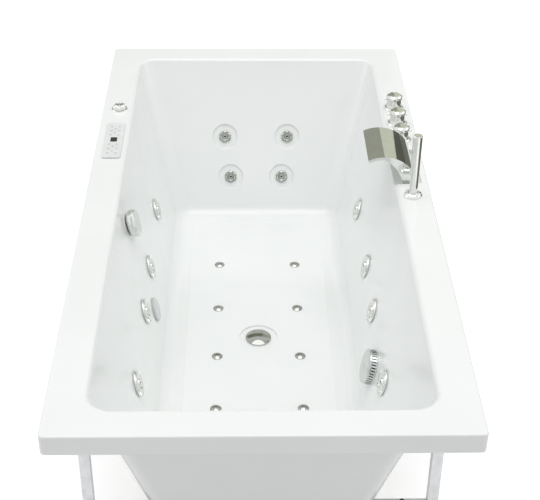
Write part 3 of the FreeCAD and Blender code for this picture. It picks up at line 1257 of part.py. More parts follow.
def suction_line():
    """Axis points of the suction line: out of the fitting, along the wall, and into the pump."""
    back = -SHELL_T - SUCTION_BODY_L
    start = at(SUCTION_SEAT, 0, 0, back)
    bend = at(SUCTION_SEAT, 0, 0, back - SUCTION_BEND)
    along = V(bend.x, PUMP_Y, bend.z)
    inlet_x = VOLUTE_X[1] + PUMP_INLET_L
    turn = V(inlet_x + SUCTION_TURN, PUMP_Y, PUMP_Z)
    return [start, bend, along, turn, V(inlet_x, PUMP_Y, PUMP_Z)]


def heater():
    """Inline heater in the suction line, with its terminal cover."""
    line = suction_line()
    x, z = line[1].x, line[1].z
    y0, y1 = HEATER_Y

    def barrel(r, start, end):
        return rod(r, V(x, start, z), V(x, end, z))

    body = barrel(HEATER_R, y0, y1)
    body = body.cut(barrel(HEATER_R - HEATER_WALL, y0 + HEATER_END_T, y1 - HEATER_END_T))
    inner = barrel(HEATER_R - OVER, y0 - OVER, y1 + OVER)
    collars = [barrel(HEATER_R + HEATER_WALL, y, y + COLLAR_L).cut(inner)
               for y in (y0 + 2, y1 - 2 - COLLAR_L)]
    cover = box(x - COVER_HALF, x + COVER_HALF, y0 + COVER_END, y1 - COVER_END,
                z - HEATER_R - 16, z - HEATER_R + 8).cut(inner)
    bore_r, bore_l = SUCTION_PIPE_R - PIPE_WALL, HEATER_END_T + OVER
    bores = [barrel(bore_r, y0 - OVER, y0 + bore_l), barrel(bore_r, y1 - bore_l, y1 + OVER)]
    return body.multiFuse(collars + [cover]).cut(bores)


def suction_pipes():
    """Two pipes: suction fitting to heater, and heater to pump."""
    start, bend, along, turn, inlet = suction_line()
    y0, y1 = HEATER_Y
    parts = [([start, bend, V(bend.x, y0, bend.z)], SUCTION_BEND * 0.9),
             ([V(bend.x, y1, bend.z), along, turn, inlet], SUCTION_BEND_R)]
    pipes = []
    for points, bend_r in parts:
        outer = sweep(points, SUCTION_PIPE_R, bend_r)
        pipes.append(outer.cut(sweep(points, SUCTION_PIPE_R - PIPE_WALL, bend_r)))
    return group(pipes)


def ring_main(x, z, near, far, r, bend):
    """Runs of a ring main round the far end: both sides straight, and the bends with the header."""
    turn = far - 1.5 * bend
    sides = [[V(side * x, near, z), V(side * x, turn, z)] for side in (-1, 1)]
    header = [V(-x, turn, z), V(-x, far, z), V(x, far, z), V(x, turn, z)]
    return [(points, r, bend) for points in sides + [header]]


def water_pipes():
    """Pressure pipes: round the far end to both rows of wall jets, and to the backrest jets."""
    back = -SHELL_T - JET_BODY_L
    axis = back - WATER_BEHIND
    side_point = at(side_seat(1, 0, JET_DEPTH), 0, 0, axis)
    x, z = side_point.x, side_point.z
    left, right, header = ring_main(x, z, JET_Y[-1] - 2 * WATER_R, HEADER_Y, WATER_R, 3 * WATER_R)
    stubs = [(at(seat, 0, 0, back), at(seat, 0, 0, axis), JET_STUB_R) for seat in JET_SEATS]
    half = len(JET_Y)

    back = -SHELL_T - BACK_BODY_L
    axis = back - BACK_BEHIND
    pump_x = sum(VOLUTE_X) / 2
    feeds = [(V(pump_x, HEADER_Y, pump_outlet_z()), V(pump_x, HEADER_Y, z), PUMP_RISER_R)]
    rows = []
    for spread, depth in BACK_JETS:
        seat = back_seat(0, depth, DISH_DEPTH)
        ends = [at(seat, side * (spread + 1.2 * WATER_R), 0, axis) for side in (-1, 1)]
        feeds.append((ends[0], ends[1], BACK_ROW_R))
        rows.append(at(seat, 0, 0, axis))
    feeds.append((rows[0], rows[1], JET_STUB_R))
    feeds.append((rows[0], V(0, HEADER_Y, z), JET_STUB_R))
    feeds += [(at(seat, 0, 0, back), at(seat, 0, 0, axis), BACK_STUB_R) for seat in BACK_SEATS]
    return group([pipework([left], stubs[:half]), pipework([right], stubs[half:]),
                  pipework([header], feeds)])


def air_pipes():
    """Air pipes: from the air control round the far end to the air ports of the wall jets."""
    point = at(side_seat(1, 0, JET_DEPTH), 0, AIR_UP, -AIR_BEHIND)
    x, z = point.x, point.z
    left, right, header = ring_main(x, z, JET_Y[-1] - 2 * AIR_R, AIR_HEADER_Y, AIR_R, 4 * AIR_R)
    stubs = [(at(seat, 0, JET_TUBE_R + 4, -AIR_BEHIND), at(seat, 0, AIR_UP, -AIR_BEHIND), AIR_STUB_R)
             for seat in JET_SEATS]
    half = len(JET_Y)
    top = V(PANEL_LINE_X, AIR_KNOB_Y, DECK_UNDER - AIR_BODY_L)
    drop = [top, V(PANEL_LINE_X, AIR_KNOB_Y, z + AIR_DROP_BEND), V(-x, AIR_KNOB_Y, z)]
    return group([pipework([left, (drop, AIR_R, 2 * AIR_R)], stubs[:half]),
                  pipework([right], stubs[half:]), pipework([header], [])])


def control_box():
    """Electrical box: tray, lid, and the gland where the supply lead would enter."""
    size_x, size_y, size_z = CONTROL_BOX
    half_x, half_y, wall, r = size_x / 2, size_y / 2, CONTROL_BOX_WALL, CONTROL_BOX_R
    rim = wall / 2
    split = size_z * CONTROL_BOX_SPLIT
    tray = rounded_plate(half_x, half_y, 0, split, r)
    tray = tray.cut(rounded_plate(half_x - wall, half_y - wall, wall, split + OVER, r - wall))
    lid = rounded_plate(half_x + rim, half_y + rim, split, size_z, r + rim)
    lid = lid.cut(rounded_plate(half_x - wall, half_y - wall, split - OVER, size_z - wall, r - wall))
    gland_z, gland_x = split / 3, half_x + GLAND_L
    gland = rod(GLAND_R, V(half_x - OVER, 0, gland_z), V(gland_x, 0, gland_z))
    passage = rod(GLAND_R / 2, V(half_x - 2 * wall, 0, gland_z), V(gland_x + OVER, 0, gland_z))
    tray = tray.fuse(gland).cut(passage)
    return group([moved(piece, CONTROL_BOX_X, CONTROL_BOX_Y, BOARD_TOP)
                  for piece in (tray, lid)])


def frame_screws():
    """Round-head screws from the rails up into the boards."""
    head = dome(SCREW_R, 0, SCREW_H)
    head.rotate(V(), V(1, 0, 0), 180)
    y0, y1 = rail_ends()
    rows = (y0 + 60, 0.4 * y0, SCREW_ROW_Y, MACHINE_BOARD_Y + 40, y1 - 20)
    return [moved(head, x, y, RAIL_UNDER) for y in rows for x in (-RAIL_X, RAIL_X)]


# ---------------------------------------------------------------- writing the parts
def make_parts():
    """Every node and its shape."""
    parts = {
        "tub_shell": tub_shell(),
        "support_boards": group([base_board(), machine_board()]),
        "support_frame": group([frame_rails(), frame_bars(), frame_posts()]),
        "frame_fasteners": group(frame_screws() + foot_nuts()),
        "clamp_nuts": group([deck_nuts(), wall_nuts()]),
        "valve_escutcheons": deck_escutcheons(), "valve_bodies": valve_bodies(),
        "waterfall_spout": spout(), "handset_holder": handset_holder(), "handset": handset(),
        "mixer_pipes": mixer_pipes(),
        "air_control_body": air_control_body(), "air_control_knob": air_control_knob(),
        "control_panel": control_panel(), "panel_display": panel_display(),
        "side_jet_bodies": side_jet_bodies(), "back_jet_bodies": back_jet_bodies(),
        "light_body": light_body(), "light_lens": light_lens(),
        "suction_body": suction_body(), "suction_cover": suction_cover(),
        "overflow_body": overflow_body(), "overflow_knob": overflow_knob(),
        "drain_flange": drain_flange(), "drain_plug": drain_plug(), "waste_body": waste_body(),
        "overflow_pipe": overflow_pipe(), "plug_cable": plug_cable(),
        "injector_caps": injector_caps(), "injector_bodies": injector_bodies(),
        "blower_pipes": blower_pipes(), "blower_housing": blower_housing(), "blower_fan": blower_fan(),
        "pump_motor": pump_motor(), "pump_volute": pump_volute(), "pump_rotor": pump_rotor(),
        "heater": heater(), "suction_pipes": suction_pipes(), "water_pipes": water_pipes(),
        "air_pipes": air_pipes(), "control_box": control_box(),
    }
    for name, seat in zip(("hot_handle", "cold_handle", "diverter_handle"), VALVE_SEATS):
        parts[name] = valve_handle(seat)
    for index, seat in enumerate(JET_SEATS, 1):
        parts[f"side_jet_face_{index}"] = side_jet_face(seat)
    for index, seat in enumerate(BACK_SEATS, 1):
        parts[f"back_jet_rotor_{index}"] = back_jet_rotor(seat)
    for index, foot in enumerate(feet(), 1):
        parts[f"foot_{index}"] = foot
    return parts


def main():
    """Write one STEP file for each node, and say what each one holds."""
    os.makedirs("parts", exist_ok=True)
    for name, shape in make_parts().items():
        shape.exportStep(f"parts/{name}.step")
        valid = all(solid.isValid() for solid in shape.Solids)
        print(f"{name}: {len(shape.Solids)} solids, {shape.Volume / 1000:.1f} cm3, valid {valid}")


main()
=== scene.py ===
"""Looks of a jetted drop-in bathtub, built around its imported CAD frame.

Sketches are drawn in millimetres in the frame's axes and become meshes in metres. +Z is up,
+Y points at the backrest and +X at the side with the taps. Each sub-assembly is a class.
"""

import json
import logging
import math
from dataclasses import dataclass
from enum import Enum
from typing import Callable, Iterable, Sequence

import bmesh
import bpy
import numpy as np
from bpy.types import (Material, Mesh, Node, NodeOutputs, NodeSocket, NodeTree, Object,
                       bpy_prop_collection)
from mathutils import Matrix, Vector

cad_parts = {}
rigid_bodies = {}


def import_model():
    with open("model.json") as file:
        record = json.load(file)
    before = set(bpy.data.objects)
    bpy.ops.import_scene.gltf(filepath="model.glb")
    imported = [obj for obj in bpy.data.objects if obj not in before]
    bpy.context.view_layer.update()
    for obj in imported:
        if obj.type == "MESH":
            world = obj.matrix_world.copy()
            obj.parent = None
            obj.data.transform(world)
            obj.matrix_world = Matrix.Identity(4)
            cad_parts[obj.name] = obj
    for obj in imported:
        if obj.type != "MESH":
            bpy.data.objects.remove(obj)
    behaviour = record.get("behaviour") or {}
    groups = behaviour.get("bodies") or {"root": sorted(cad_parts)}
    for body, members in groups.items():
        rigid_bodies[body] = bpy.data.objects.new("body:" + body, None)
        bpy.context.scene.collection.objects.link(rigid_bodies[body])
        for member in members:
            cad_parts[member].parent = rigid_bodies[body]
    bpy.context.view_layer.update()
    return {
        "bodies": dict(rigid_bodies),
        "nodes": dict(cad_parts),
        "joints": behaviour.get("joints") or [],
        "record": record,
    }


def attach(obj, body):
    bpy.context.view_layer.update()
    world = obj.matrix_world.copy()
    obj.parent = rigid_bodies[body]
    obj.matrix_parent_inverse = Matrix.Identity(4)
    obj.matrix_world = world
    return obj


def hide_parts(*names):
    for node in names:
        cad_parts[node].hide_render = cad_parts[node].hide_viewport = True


LOG = logging.getLogger("bathtub")
MM = 0.001
RIM = 600.0
SOFT_ANGLE = math.radians(34)
STRAIGHT = math.radians(176)
CORNER_SHARE = 0.48
CORNER_STEPS = 8
EDGE_STEPS = 3
LEVEL = 0.99
ON_AXIS = 1e-6
MERGE_DISTANCE = 2e-6
SLIVER = 1e-7
TINY = 1e-20
CORNERS = ((-1, -1), (1, -1), (1, 1), (-1, 1))
TREAD = {"Half Width": 0.200, "Near": -0.680, "Side Far": 0.500, "Sag": 0.044, "Top": 0.1712}
Point = Sequence[float]
Triple = tuple[float, float, float]
Pair = tuple[float, float]
Profile = list[Pair]
Bender = Callable[[float, float, float], Pair]


@dataclass(frozen=True)
class Coating:
    """How a finish looks: its name, two tones, the range of its gloss, and its relief."""

    name: str
    colour: Triple
    second: Triple
    gloss: Pair
    patch: float = 30.0
    grain: float = 700.0
    relief: float = 0.03
    metallic: float = 0.0
    coat: float = 0.0
    coat_roughness: float = 0.03
    stretch: float = 1.0
    slot: str = ""


class Finish(Enum):
    """The finishes of the bath."""

    ACRYLIC = Coating(
        "white_acrylic", (0.845, 0.865, 0.855), (0.87, 0.885, 0.875), (0.16, 0.24), 5.0, 260.0,
        0.012, coat=0.3, coat_roughness=0.04)
    CHROME = Coating(
        "chrome", (0.73, 0.74, 0.715), (0.79, 0.80, 0.775), (0.035, 0.09), relief=0.006,
        metallic=1.0)
    # Painted shade: chrome whose colour is darkened to stand for dark reflections, a shaded copy of
    # the chrome finish, used on the back-jet rosettes, the drain cap and the injector caps.
    SHADED_CHROME = Coating(
        "chrome_painted_shade", (0.34, 0.35, 0.325), (0.44, 0.45, 0.42), (0.04, 0.10), relief=0.006,
        metallic=1.0, slot="chrome")
    COVER_CHROME = Coating(
        "cover_chrome", (0.60, 0.62, 0.61), (0.68, 0.70, 0.69), (0.10, 0.20), relief=0.01,
        metallic=1.0)
    BRASS = Coating(
        "yellow_brass", (0.72, 0.52, 0.22), (0.60, 0.42, 0.18), (0.2, 0.36), 40.0, 600.0,
        metallic=1.0)
    COPPER = Coating(
        "copper_pipe", (0.78, 0.42, 0.28), (0.60, 0.30, 0.19), (0.2, 0.4), 18.0, 500.0,
        metallic=1.0)
    PANEL = Coating(
        "panel_plastic", (0.70, 0.72, 0.71), (0.75, 0.77, 0.76), (0.32, 0.42), 20.0, 900.0)
    DISPLAY = Coating(
        "display_black", (0.012, 0.013, 0.014), (0.02, 0.021, 0.023), (0.06, 0.12), relief=0.004,
        coat=0.5, coat_roughness=0.02)
    JET_PLASTIC = Coating(
        "jet_plastic", (0.72, 0.74, 0.73), (0.77, 0.79, 0.78), (0.28, 0.38), 30.0, 900.0)
    LENS = Coating(
        "lens_plastic", (0.52, 0.55, 0.55), (0.60, 0.63, 0.63), (0.10, 0.2), 40.0, relief=0.01,
        coat=0.4, coat_roughness=0.02)
    PIPE_PLASTIC = Coating(
        "pipe_plastic", (0.66, 0.67, 0.66), (0.72, 0.73, 0.72), (0.3, 0.45), 12.0, 600.0)
    AIR_HOSE = Coating(
        "air_hose", (0.52, 0.54, 0.54), (0.60, 0.62, 0.62), (0.35, 0.5), 15.0, 500.0, 0.05)
    BLACK_PLASTIC = Coating(
        "black_plastic", (0.03, 0.03, 0.032), (0.05, 0.05, 0.052), (0.4, 0.55), 20.0, 1100.0, 0.08)
    GREY_PLASTIC = Coating(
        "grey_plastic", (0.36, 0.37, 0.38), (0.43, 0.44, 0.45), (0.38, 0.5), 20.0, 1000.0, 0.07)
    MOTOR_PAINT = Coating(
        "motor_paint", (0.10, 0.16, 0.22), (0.13, 0.20, 0.27), (0.34, 0.48), 14.0, 420.0, 0.12)
    STAINLESS = Coating(
        "stainless", (0.62, 0.62, 0.61), (0.70, 0.70, 0.69), (0.22, 0.36), 25.0, 500.0,
        metallic=1.0, stretch=14.0)
    ZINC_STEEL = Coating(
        "zinc_steel", (0.60, 0.61, 0.62), (0.74, 0.75, 0.76), (0.38, 0.55), 45.0, 420.0, 0.05,
        0.85)
    PLYWOOD = Coating(
        "plywood", (0.62, 0.47, 0.30), (0.76, 0.61, 0.42), (0.55, 0.75), 9.0, 260.0, 0.2,
        stretch=9.0)

    @property
    def slot(self) -> str:
        """The material slot that the finish belongs to."""
        return self.value.slot or self.value.name


# ---------- meshes
def seat(origin: Point, normal: Point = (0.0, 0.0, 1.0)) -> Matrix:
    """Axes on a wall, floor or deck, where z stands out of it and y runs up a wall.

    Args:
        origin: Their place, in millimetres.
        normal: The way out of the wall, floor or deck.

    Returns:
        The matrix from these axes to the frame's.
    """
    z = Vector(normal).normalized()
    up = Vector((0, 0, 1))
    y = Vector((0, 1, 0)) if z.z > LEVEL else (up - z.z * z).normalized()
    turn = Matrix((y.cross(z), y, z)).transposed().to_4x4()
    return Matrix.Translation(origin) @ turn


@dataclass(frozen=True)
class Well:
    """The sloped walls that the fittings sit on, in millimetres."""

    depth: float = 430.0
    half_width: float = 370.0
    far_y: float = 832.0
    side_lean: float = 118.0
    back_lean: float = 242.0

    def side(self, side: int, y: float, depth: float) -> Matrix:
        """Seat on a side wall.

        Args:
            side: -1 for the left wall and 1 for the right one.
            y: Place along the bath.
            depth: Depth below the rim.

        Returns:
            Axes that face into the well.
        """
        x = side * (self.half_width - self.side_lean * depth / self.depth)
        return seat((x, y, RIM - depth), (-side * self.depth, 0.0, self.side_lean))

    def back(self, x: float, depth: float, sink: float) -> Matrix:
        """Seat on the backrest, moved into the wall by sink.

        Args:
            x: Place across the bath.
            depth: Depth below the rim.
            sink: How far the seat lies behind the wall's face.

        Returns:
            Axes that face into the well.
        """
        normal = Vector((0.0, -self.depth, self.back_lean)).normalized()
        y = self.far_y - self.back_lean * depth / self.depth
        origin = Vector((x, y, RIM - depth)) - sink * normal
        return seat(origin, normal)

    def floor(self, x: float, y: float, sink: float) -> Matrix:
        """Seat on the floor, moved down by sink."""
        return seat((x, y, RIM - self.depth - sink))

    def deck(self, x: float, y: float) -> Matrix:
        """Seat on the deck."""
        return seat((x, y, RIM))


WELL = Well()


def rounded(points: Sequence[Point], radius: float, steps: int = 4) -> Profile:
    """Rounds the inner corners of an open profile.

    Args:
        points: Corner points of the profile.
        radius: Largest rounding; short runs get a smaller one.
        steps: Segments in each rounding.

    Returns:
        The profile with its arcs.
    """
    out = [tuple(points[0])]
    for before, corner, after in zip(points, points[1:], points[2:]):
        here = Vector(corner)
        back, on = Vector(before) - here, Vector(after) - here
        angle = back.angle(on)
        if angle > STRAIGHT:
            out.append(tuple(corner))
            continue
        reach = min(radius / math.tan(angle / 2), CORNER_SHARE * back.length,
                    CORNER_SHARE * on.length)
        start, end = here + back.normalized() * reach, here + on.normalized() * reach
        for i in range(steps + 1):
            t = i / steps
            out.append(tuple(start.lerp(here, t).lerp(here.lerp(end, t), t)))
    out.append(tuple(points[-1]))
    return out


class Sketch:
    """Vertices and faces in millimetres, gathered before they become one mesh."""

    def __init__(self) -> None:
        """Starts with nothing drawn."""
        self.verts: list[Vector] = []
        self.faces: list[tuple[int, ...]] = []

    def add(self, verts: Iterable[Point], faces: Iterable[Sequence[int]], place: Matrix) -> None:
        """Adds a shape made in its own axes.

        Args:
            verts: Its points.
            faces: Its faces, by index of point.
            place: The matrix that puts it into the frame.
        """
        base = len(self.verts)
        self.verts += [place @ Vector(v) for v in verts]
        self.faces += [tuple(base + i for i in f) for f in faces]

    def lathe(self, profile: Sequence[Point], place: Matrix, segments: int = 64,
              bend: Bender | None = None, closed: bool = False) -> None:
        """Turns a profile about the Z axis.

        Args:
            profile: Points (r, z) from the low end on the outside to the top end, so that
                faces point outwards; a closed profile runs the same way round.
            place: The matrix that puts it into the frame.
            segments: Segments round the axis.
            bend: Changes (r, z, angle) to (r, z), for lobes and facets.
            closed: True where the profile is a loop clear of the axis.
        """
        verts: list[Point] = []
        rings: list[list[int]] = []
        for r, z in profile:
            if r < ON_AXIS:
                verts.append((0.0, 0.0, z))
                rings.append([len(verts) - 1] * segments)
                continue
            ring = []
            for i in range(segments):
                a = 2 * math.pi * i / segments
                rr, zz = bend(r, z, a) if bend else (r, z)
                ring.append(len(verts))
                verts.append((rr * math.cos(a), rr * math.sin(a), zz))
            rings.append(ring)
        pairs = list(zip(rings, rings[1:]))
        if closed:
            pairs.append((rings[-1], rings[0]))
        faces = []
        for low, high in pairs:
            for i in range(segments):
                j = (i + 1) % segments
                face = list(dict.fromkeys((low[i], low[j], high[j], high[i])))
                if len(face) > 2:
                    faces.append(face)
        self.add(verts, faces, place)

    def loft(self, rings: Sequence[Sequence[Point]], place: Matrix, closed: bool = False) -> None:
        """Joins rings of equally many points, and caps both ends unless they are closed.

        Args:
            rings: The rings, from the low end to the top end.
            place: The matrix that puts them into the frame.
            closed: True where the last ring joins the first one.
        """
        count, rows = len(rings[0]), len(rings)
        faces: list[tuple[int, ...]] = []
        for row in range(rows if closed else rows - 1):
            low, high = row * count, (row + 1) % rows * count
            for k in range(count):
                j = (k + 1) % count
                faces.append((low + k, low + j, high + j, high + k))
        if not closed:
            top = (rows - 1) * count
            faces += [tuple(top + k for k in range(count)), tuple(reversed(range(count)))]
        self.add([point for ring in rings for point in ring], faces, place)

    def block(self, half: Point, z0: float, z1: float, edge: float, place: Matrix) -> None:
        """Upright block about the Z axis, with its upper and lower edges rounded.

        Args:
            half: Half its width and half its depth.
            z0: Its base.
            z1: Its top.
            edge: Rounding of the edges.
            place: The matrix that puts it into the frame.
        """
        (x, y), reach = half, math.hypot(*half)
        turns = [math.pi / 2 * i / EDGE_STEPS for i in range(EDGE_STEPS + 1)]
        steps = [(edge * (1 - math.sin(a)), z0 + edge * (1 - math.cos(a))) for a in turns]
        steps += [(inset, z0 + z1 - z) for inset, z in reversed(steps)]
        self.loft([[(sx * (x - inset * y / reach), sy * (y - inset * x / reach), z)
                    for sx, sy in CORNERS] for inset, z in steps], place)

    def mesh(self, name: str) -> Mesh:
        """The sketch as a mesh in metres, with its doubles merged."""
        mesh = bpy.data.meshes.new(name)
        mesh.from_pydata([v * MM for v in self.verts], [], self.faces)
        mesh.validate()
        tidy_mesh(mesh)
        return mesh


def rounded_box(half_x: float, half_y: float, radius: float) -> Profile:
    """Plan of a rounded rectangle about the origin, counter-clockwise."""
    out = []
    for quarter, (sx, sy) in enumerate(((1, 1), (-1, 1), (-1, -1), (1, -1))):
        for i in range(CORNER_STEPS + 1):
            a = math.pi / 2 * (quarter + i / CORNER_STEPS)
            out.append((sx * (half_x - radius) + radius * math.cos(a),
                        sy * (half_y - radius) + radius * math.sin(a)))
    return out


def scaled(shares: Sequence[Point], radius: float, low: float, height: float) -> Profile:
    """A profile from shares of a radius and of a height that starts at low."""
    return [(r * radius, low + z * height) for r, z in shares]


def stem(radius: float, depth: float, top: float, bore: float = 0.0) -> Profile:
    """The start of a profile: a shank from a depth below its seat up to its top."""
    return [(bore, -depth), (radius, -depth), (radius, top)]


def tidy_mesh(mesh: Mesh) -> None:
    """Merges doubled points and removes faces without area."""
    work = bmesh.new()
    work.from_mesh(mesh)
    bmesh.ops.remove_doubles(work, verts=work.verts, dist=MERGE_DISTANCE)
    bmesh.ops.dissolve_degenerate(work, dist=SLIVER, edges=work.edges)
    work.to_mesh(mesh)
    work.free()


def read(items: bpy_prop_collection, name: str, kind: type = float,
         width: int = 1) -> np.ndarray:
    """One property of all items of a mesh, as an array.

    Args:
        items: The mesh's points, corners or faces.
        name: The property.
        kind: The array's type of number.
        width: Numbers for each item.

    Returns:
        The array, with a row for each item where it has more than one number.
    """
    values = np.empty(len(items) * width, kind)
    items.foreach_get(name, values)
    return values.reshape(-1, width) if width > 1 else values


def weigh_normals(mesh: Mesh, angle: float = SOFT_ANGLE) -> None:
    """Smooths the mesh with normals weighed by area, so that flats stay flat beside roundings.

    Args:
        mesh: The mesh, with its doubles merged.
        angle: Faces that meet at more than this stay sharp.
    """
    point = read(mesh.loops, "vertex_index", np.int64)
    sizes = read(mesh.polygons, "loop_total", np.int64)
    normal = read(mesh.polygons, "normal", width=3)
    area = read(mesh.polygons, "area")
    place = read(mesh.vertices, "co", width=3)
    starts = np.concatenate(([0], np.cumsum(sizes)[:-1]))
    face = np.repeat(np.arange(len(sizes)), sizes)

    step = np.arange(len(point)) - starts[face]
    after = starts[face] + (step + 1) % sizes[face]
    before = starts[face] + (step - 1) % sizes[face]
    on, back = place[point[after]] - place[point], place[point[before]] - place[point]
    length = np.linalg.norm(on, axis=1) * np.linalg.norm(back, axis=1) + TINY
    corner = np.arccos(np.clip((on * back).sum(1) / length, -1, 1))
    weight = area[face] * corner

    order = np.argsort(point, kind="stable")
    fans = np.bincount(point, minlength=len(place))
    first = np.concatenate(([0], np.cumsum(fans)[:-1]))
    repeats = fans[point[order]]
    one = np.repeat(order, repeats)
    run = np.arange(len(one)) - np.repeat(np.cumsum(repeats) - repeats, repeats)
    other = order[first[point[one]] + run]
    near = (normal[face[one]] * normal[face[other]]).sum(1) > math.cos(angle)
    total = np.zeros((len(point), 3))
    np.add.at(total, one[near], normal[face[other[near]]] * weight[other[near], None])
    total /= np.linalg.norm(total, axis=1, keepdims=True) + TINY
    mesh.polygons.foreach_set("use_smooth", np.ones(len(sizes), bool))
    mesh.normals_split_custom_set(total.tolist())


@dataclass
class Workshop:
    """What every sub-assembly needs: the CAD nodes, the materials and the ring of blocks."""

    frame: dict
    materials: dict[Finish, Material]
    ring: "RingTree"
    pieces: int = 0

    def piece(self, mesh: Mesh, body: str, finish: Finish,
              replaces: Sequence[str] = (), angle: float = SOFT_ANGLE) -> None:
        """Makes a mesh a piece of the bath.

        Args:
            mesh: The mesh, in metres, with its place in its points.
            body: The body that it rides on.
            finish: Its finish, whose material the mesh gets.
            replaces: The CAD nodes that it stands for.
            angle: Faces that meet at more than this stay sharp.
        """
        weigh_normals(mesh, angle)
        mesh.materials.clear()
        mesh.materials.append(self.materials[finish])
        piece = bpy.data.objects.new(mesh.name, mesh)
        bpy.context.scene.collection.objects.link(piece)
        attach(piece, body)
        finish.slot
        if replaces:
            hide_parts(*replaces)
        self.pieces += 1
        LOG.info("piece %s on %s, %d faces", piece.name, body, len(mesh.polygons))

    def stand_in(self, sketch: Sketch, body: str, word: str, finish: Finish) -> None:
        """Makes a sketch the piece that stands for the CAD node named like its body.

        Args:
            sketch: The sketch.
            body: The name of the body and of its node.
            word: What the piece's name adds to it.
            finish: Its finish.
        """
        self.piece(sketch.mesh(f"{body}_{word}"), body, finish, (body,))

    def smooth_copy(self, node: str, body: str, finish: Finish,
                    angle: float = SOFT_ANGLE) -> None:
        """Stands a merged, smooth-shaded copy of a CAD node in its place.

        Args:
            node: The CAD node.
            body: The body that it rides on.
            finish: Its finish.
            angle: Faces that meet at more than this stay sharp.
        """
        mesh = self.frame["nodes"][node].data.copy()
        mesh.name = f"{node}_skin"
        tidy_mesh(mesh)
        self.piece(mesh, body, finish, (node,), angle)

    def dress(self, node: str, finish: Finish) -> None:
        """Gives a carried-over CAD node its material."""
        slots = self.frame["nodes"][node].data.materials
        slots.clear()
        slots.append(self.materials[finish])


# ---------- materials
class NodeSheet:
    """Short ways to add and link the nodes of one tree."""

    def __init__(self, tree: NodeTree) -> None:
        """Wraps a tree."""
        self.tree = tree

    def add(self, kind: str, values: dict[str | int, object] | None = None,
            **settings: object) -> Node:
        """Adds a node.

        Args:
            kind: The node's type.
            values: Values or linked sockets for its inputs, by name or index.
            **settings: Properties of the node.

        Returns:
            The node.
        """
        node = self.tree.nodes.new(kind)
        for name, value in settings.items():
            setattr(node, name, value)
        for key, value in (values or {}).items():
            if isinstance(value, NodeSocket):
                self.tree.links.new(value, node.inputs[key])
            else:
                node.inputs[key].default_value = value
        return node

    def math(self, operation: str, *values: object, clamp: bool = False) -> NodeSocket:
        """A Math node's result.

        Args:
            operation: The node's operation.
            *values: Its numbers or linked sockets.
            clamp: True to keep the result between 0 and 1.

        Returns:
            The result's socket.
        """
        node = self.add("ShaderNodeMath", dict(enumerate(values)), operation=operation)
        node.use_clamp = clamp
        return node.outputs[0]

    def span(self, value: NodeSocket, low: float, high: float) -> NodeSocket:
        """A value from 0 to 1, spread from low to high."""
        node = self.add("ShaderNodeMapRange", {"Value": value, "To Min": low, "To Max": high})
        return node.outputs["Result"]

    def blend(self, share: NodeSocket, first: Point, second: Point) -> NodeSocket:
        """A colour between two, by a share from 0 to 1."""
        node = self.add("ShaderNodeMix", {0: share, 6: (*first, 1.0), 7: (*second, 1.0)},
                        data_type="RGBA")
        return node.outputs[2]

    def seen(self) -> NodeSocket:
        """1 for rays of the camera, of reflections and through clear things, and 0 elsewhere."""
        rays = self.add("ShaderNodeLightPath").outputs
        bent = self.math("MAXIMUM", rays["Is Glossy Ray"], rays["Is Transmission Ray"])
        return self.math("MAXIMUM", rays["Is Camera Ray"], bent)

    def wire(self, socket: NodeSocket, node: str, key: str) -> None:
        """Links a socket to an input of a node that the tree starts with."""
        self.tree.links.new(socket, self.tree.nodes[node].inputs[key])


class GroupSheet(NodeSheet):
    """A shader node group whose inputs and outputs are all plain numbers."""

    def __init__(self, name: str, inputs: dict[str, float], outputs: Sequence[str]) -> None:
        """Makes the group.

        Args:
            name: The group's name.
            inputs: Input names with their defaults.
            outputs: Output names.
        """
        super().__init__(bpy.data.node_groups.new(name, "ShaderNodeTree"))
        sockets, kind = self.tree.interface.new_socket, "NodeSocketFloat"
        for key, value in inputs.items():
            sockets(name=key, in_out="INPUT", socket_type=kind).default_value = value
        for key in outputs:
            sockets(name=key, in_out="OUTPUT", socket_type=kind)
        self.given = self.add("NodeGroupInput").outputs
        self.add("NodeGroupOutput")
        self.coordinates = self.add("ShaderNodeTexCoord").outputs
        self.place = self.coordinates["Object"]

    def axes(self, vector: NodeSocket) -> NodeOutputs:
        """The X, Y and Z of a vector."""
        return self.add("ShaderNodeSeparateXYZ", {0: vector}).outputs

    def stretched(self) -> NodeSocket:
        """The object's coordinates, drawn out along Y by the group's Stretch."""
        squeeze = self.math("DIVIDE", 1.0, self.given["Stretch"])
        scale = self.add("ShaderNodeCombineXYZ", {0: 1.0, 1: squeeze, 2: 1.0}).outputs[0]
        long = self.add("ShaderNodeVectorMath", {0: self.place, 1: scale}, operation="MULTIPLY")
        return long.outputs[0]

    def give(self, **results: NodeSocket) -> NodeTree:
        """Links the group's results.

        Args:
            **results: A socket for each output, by the output's name.

        Returns:
            The finished group.
        """
        for key, socket in results.items():
            self.wire(socket, "Group Output", key)
        return self.tree


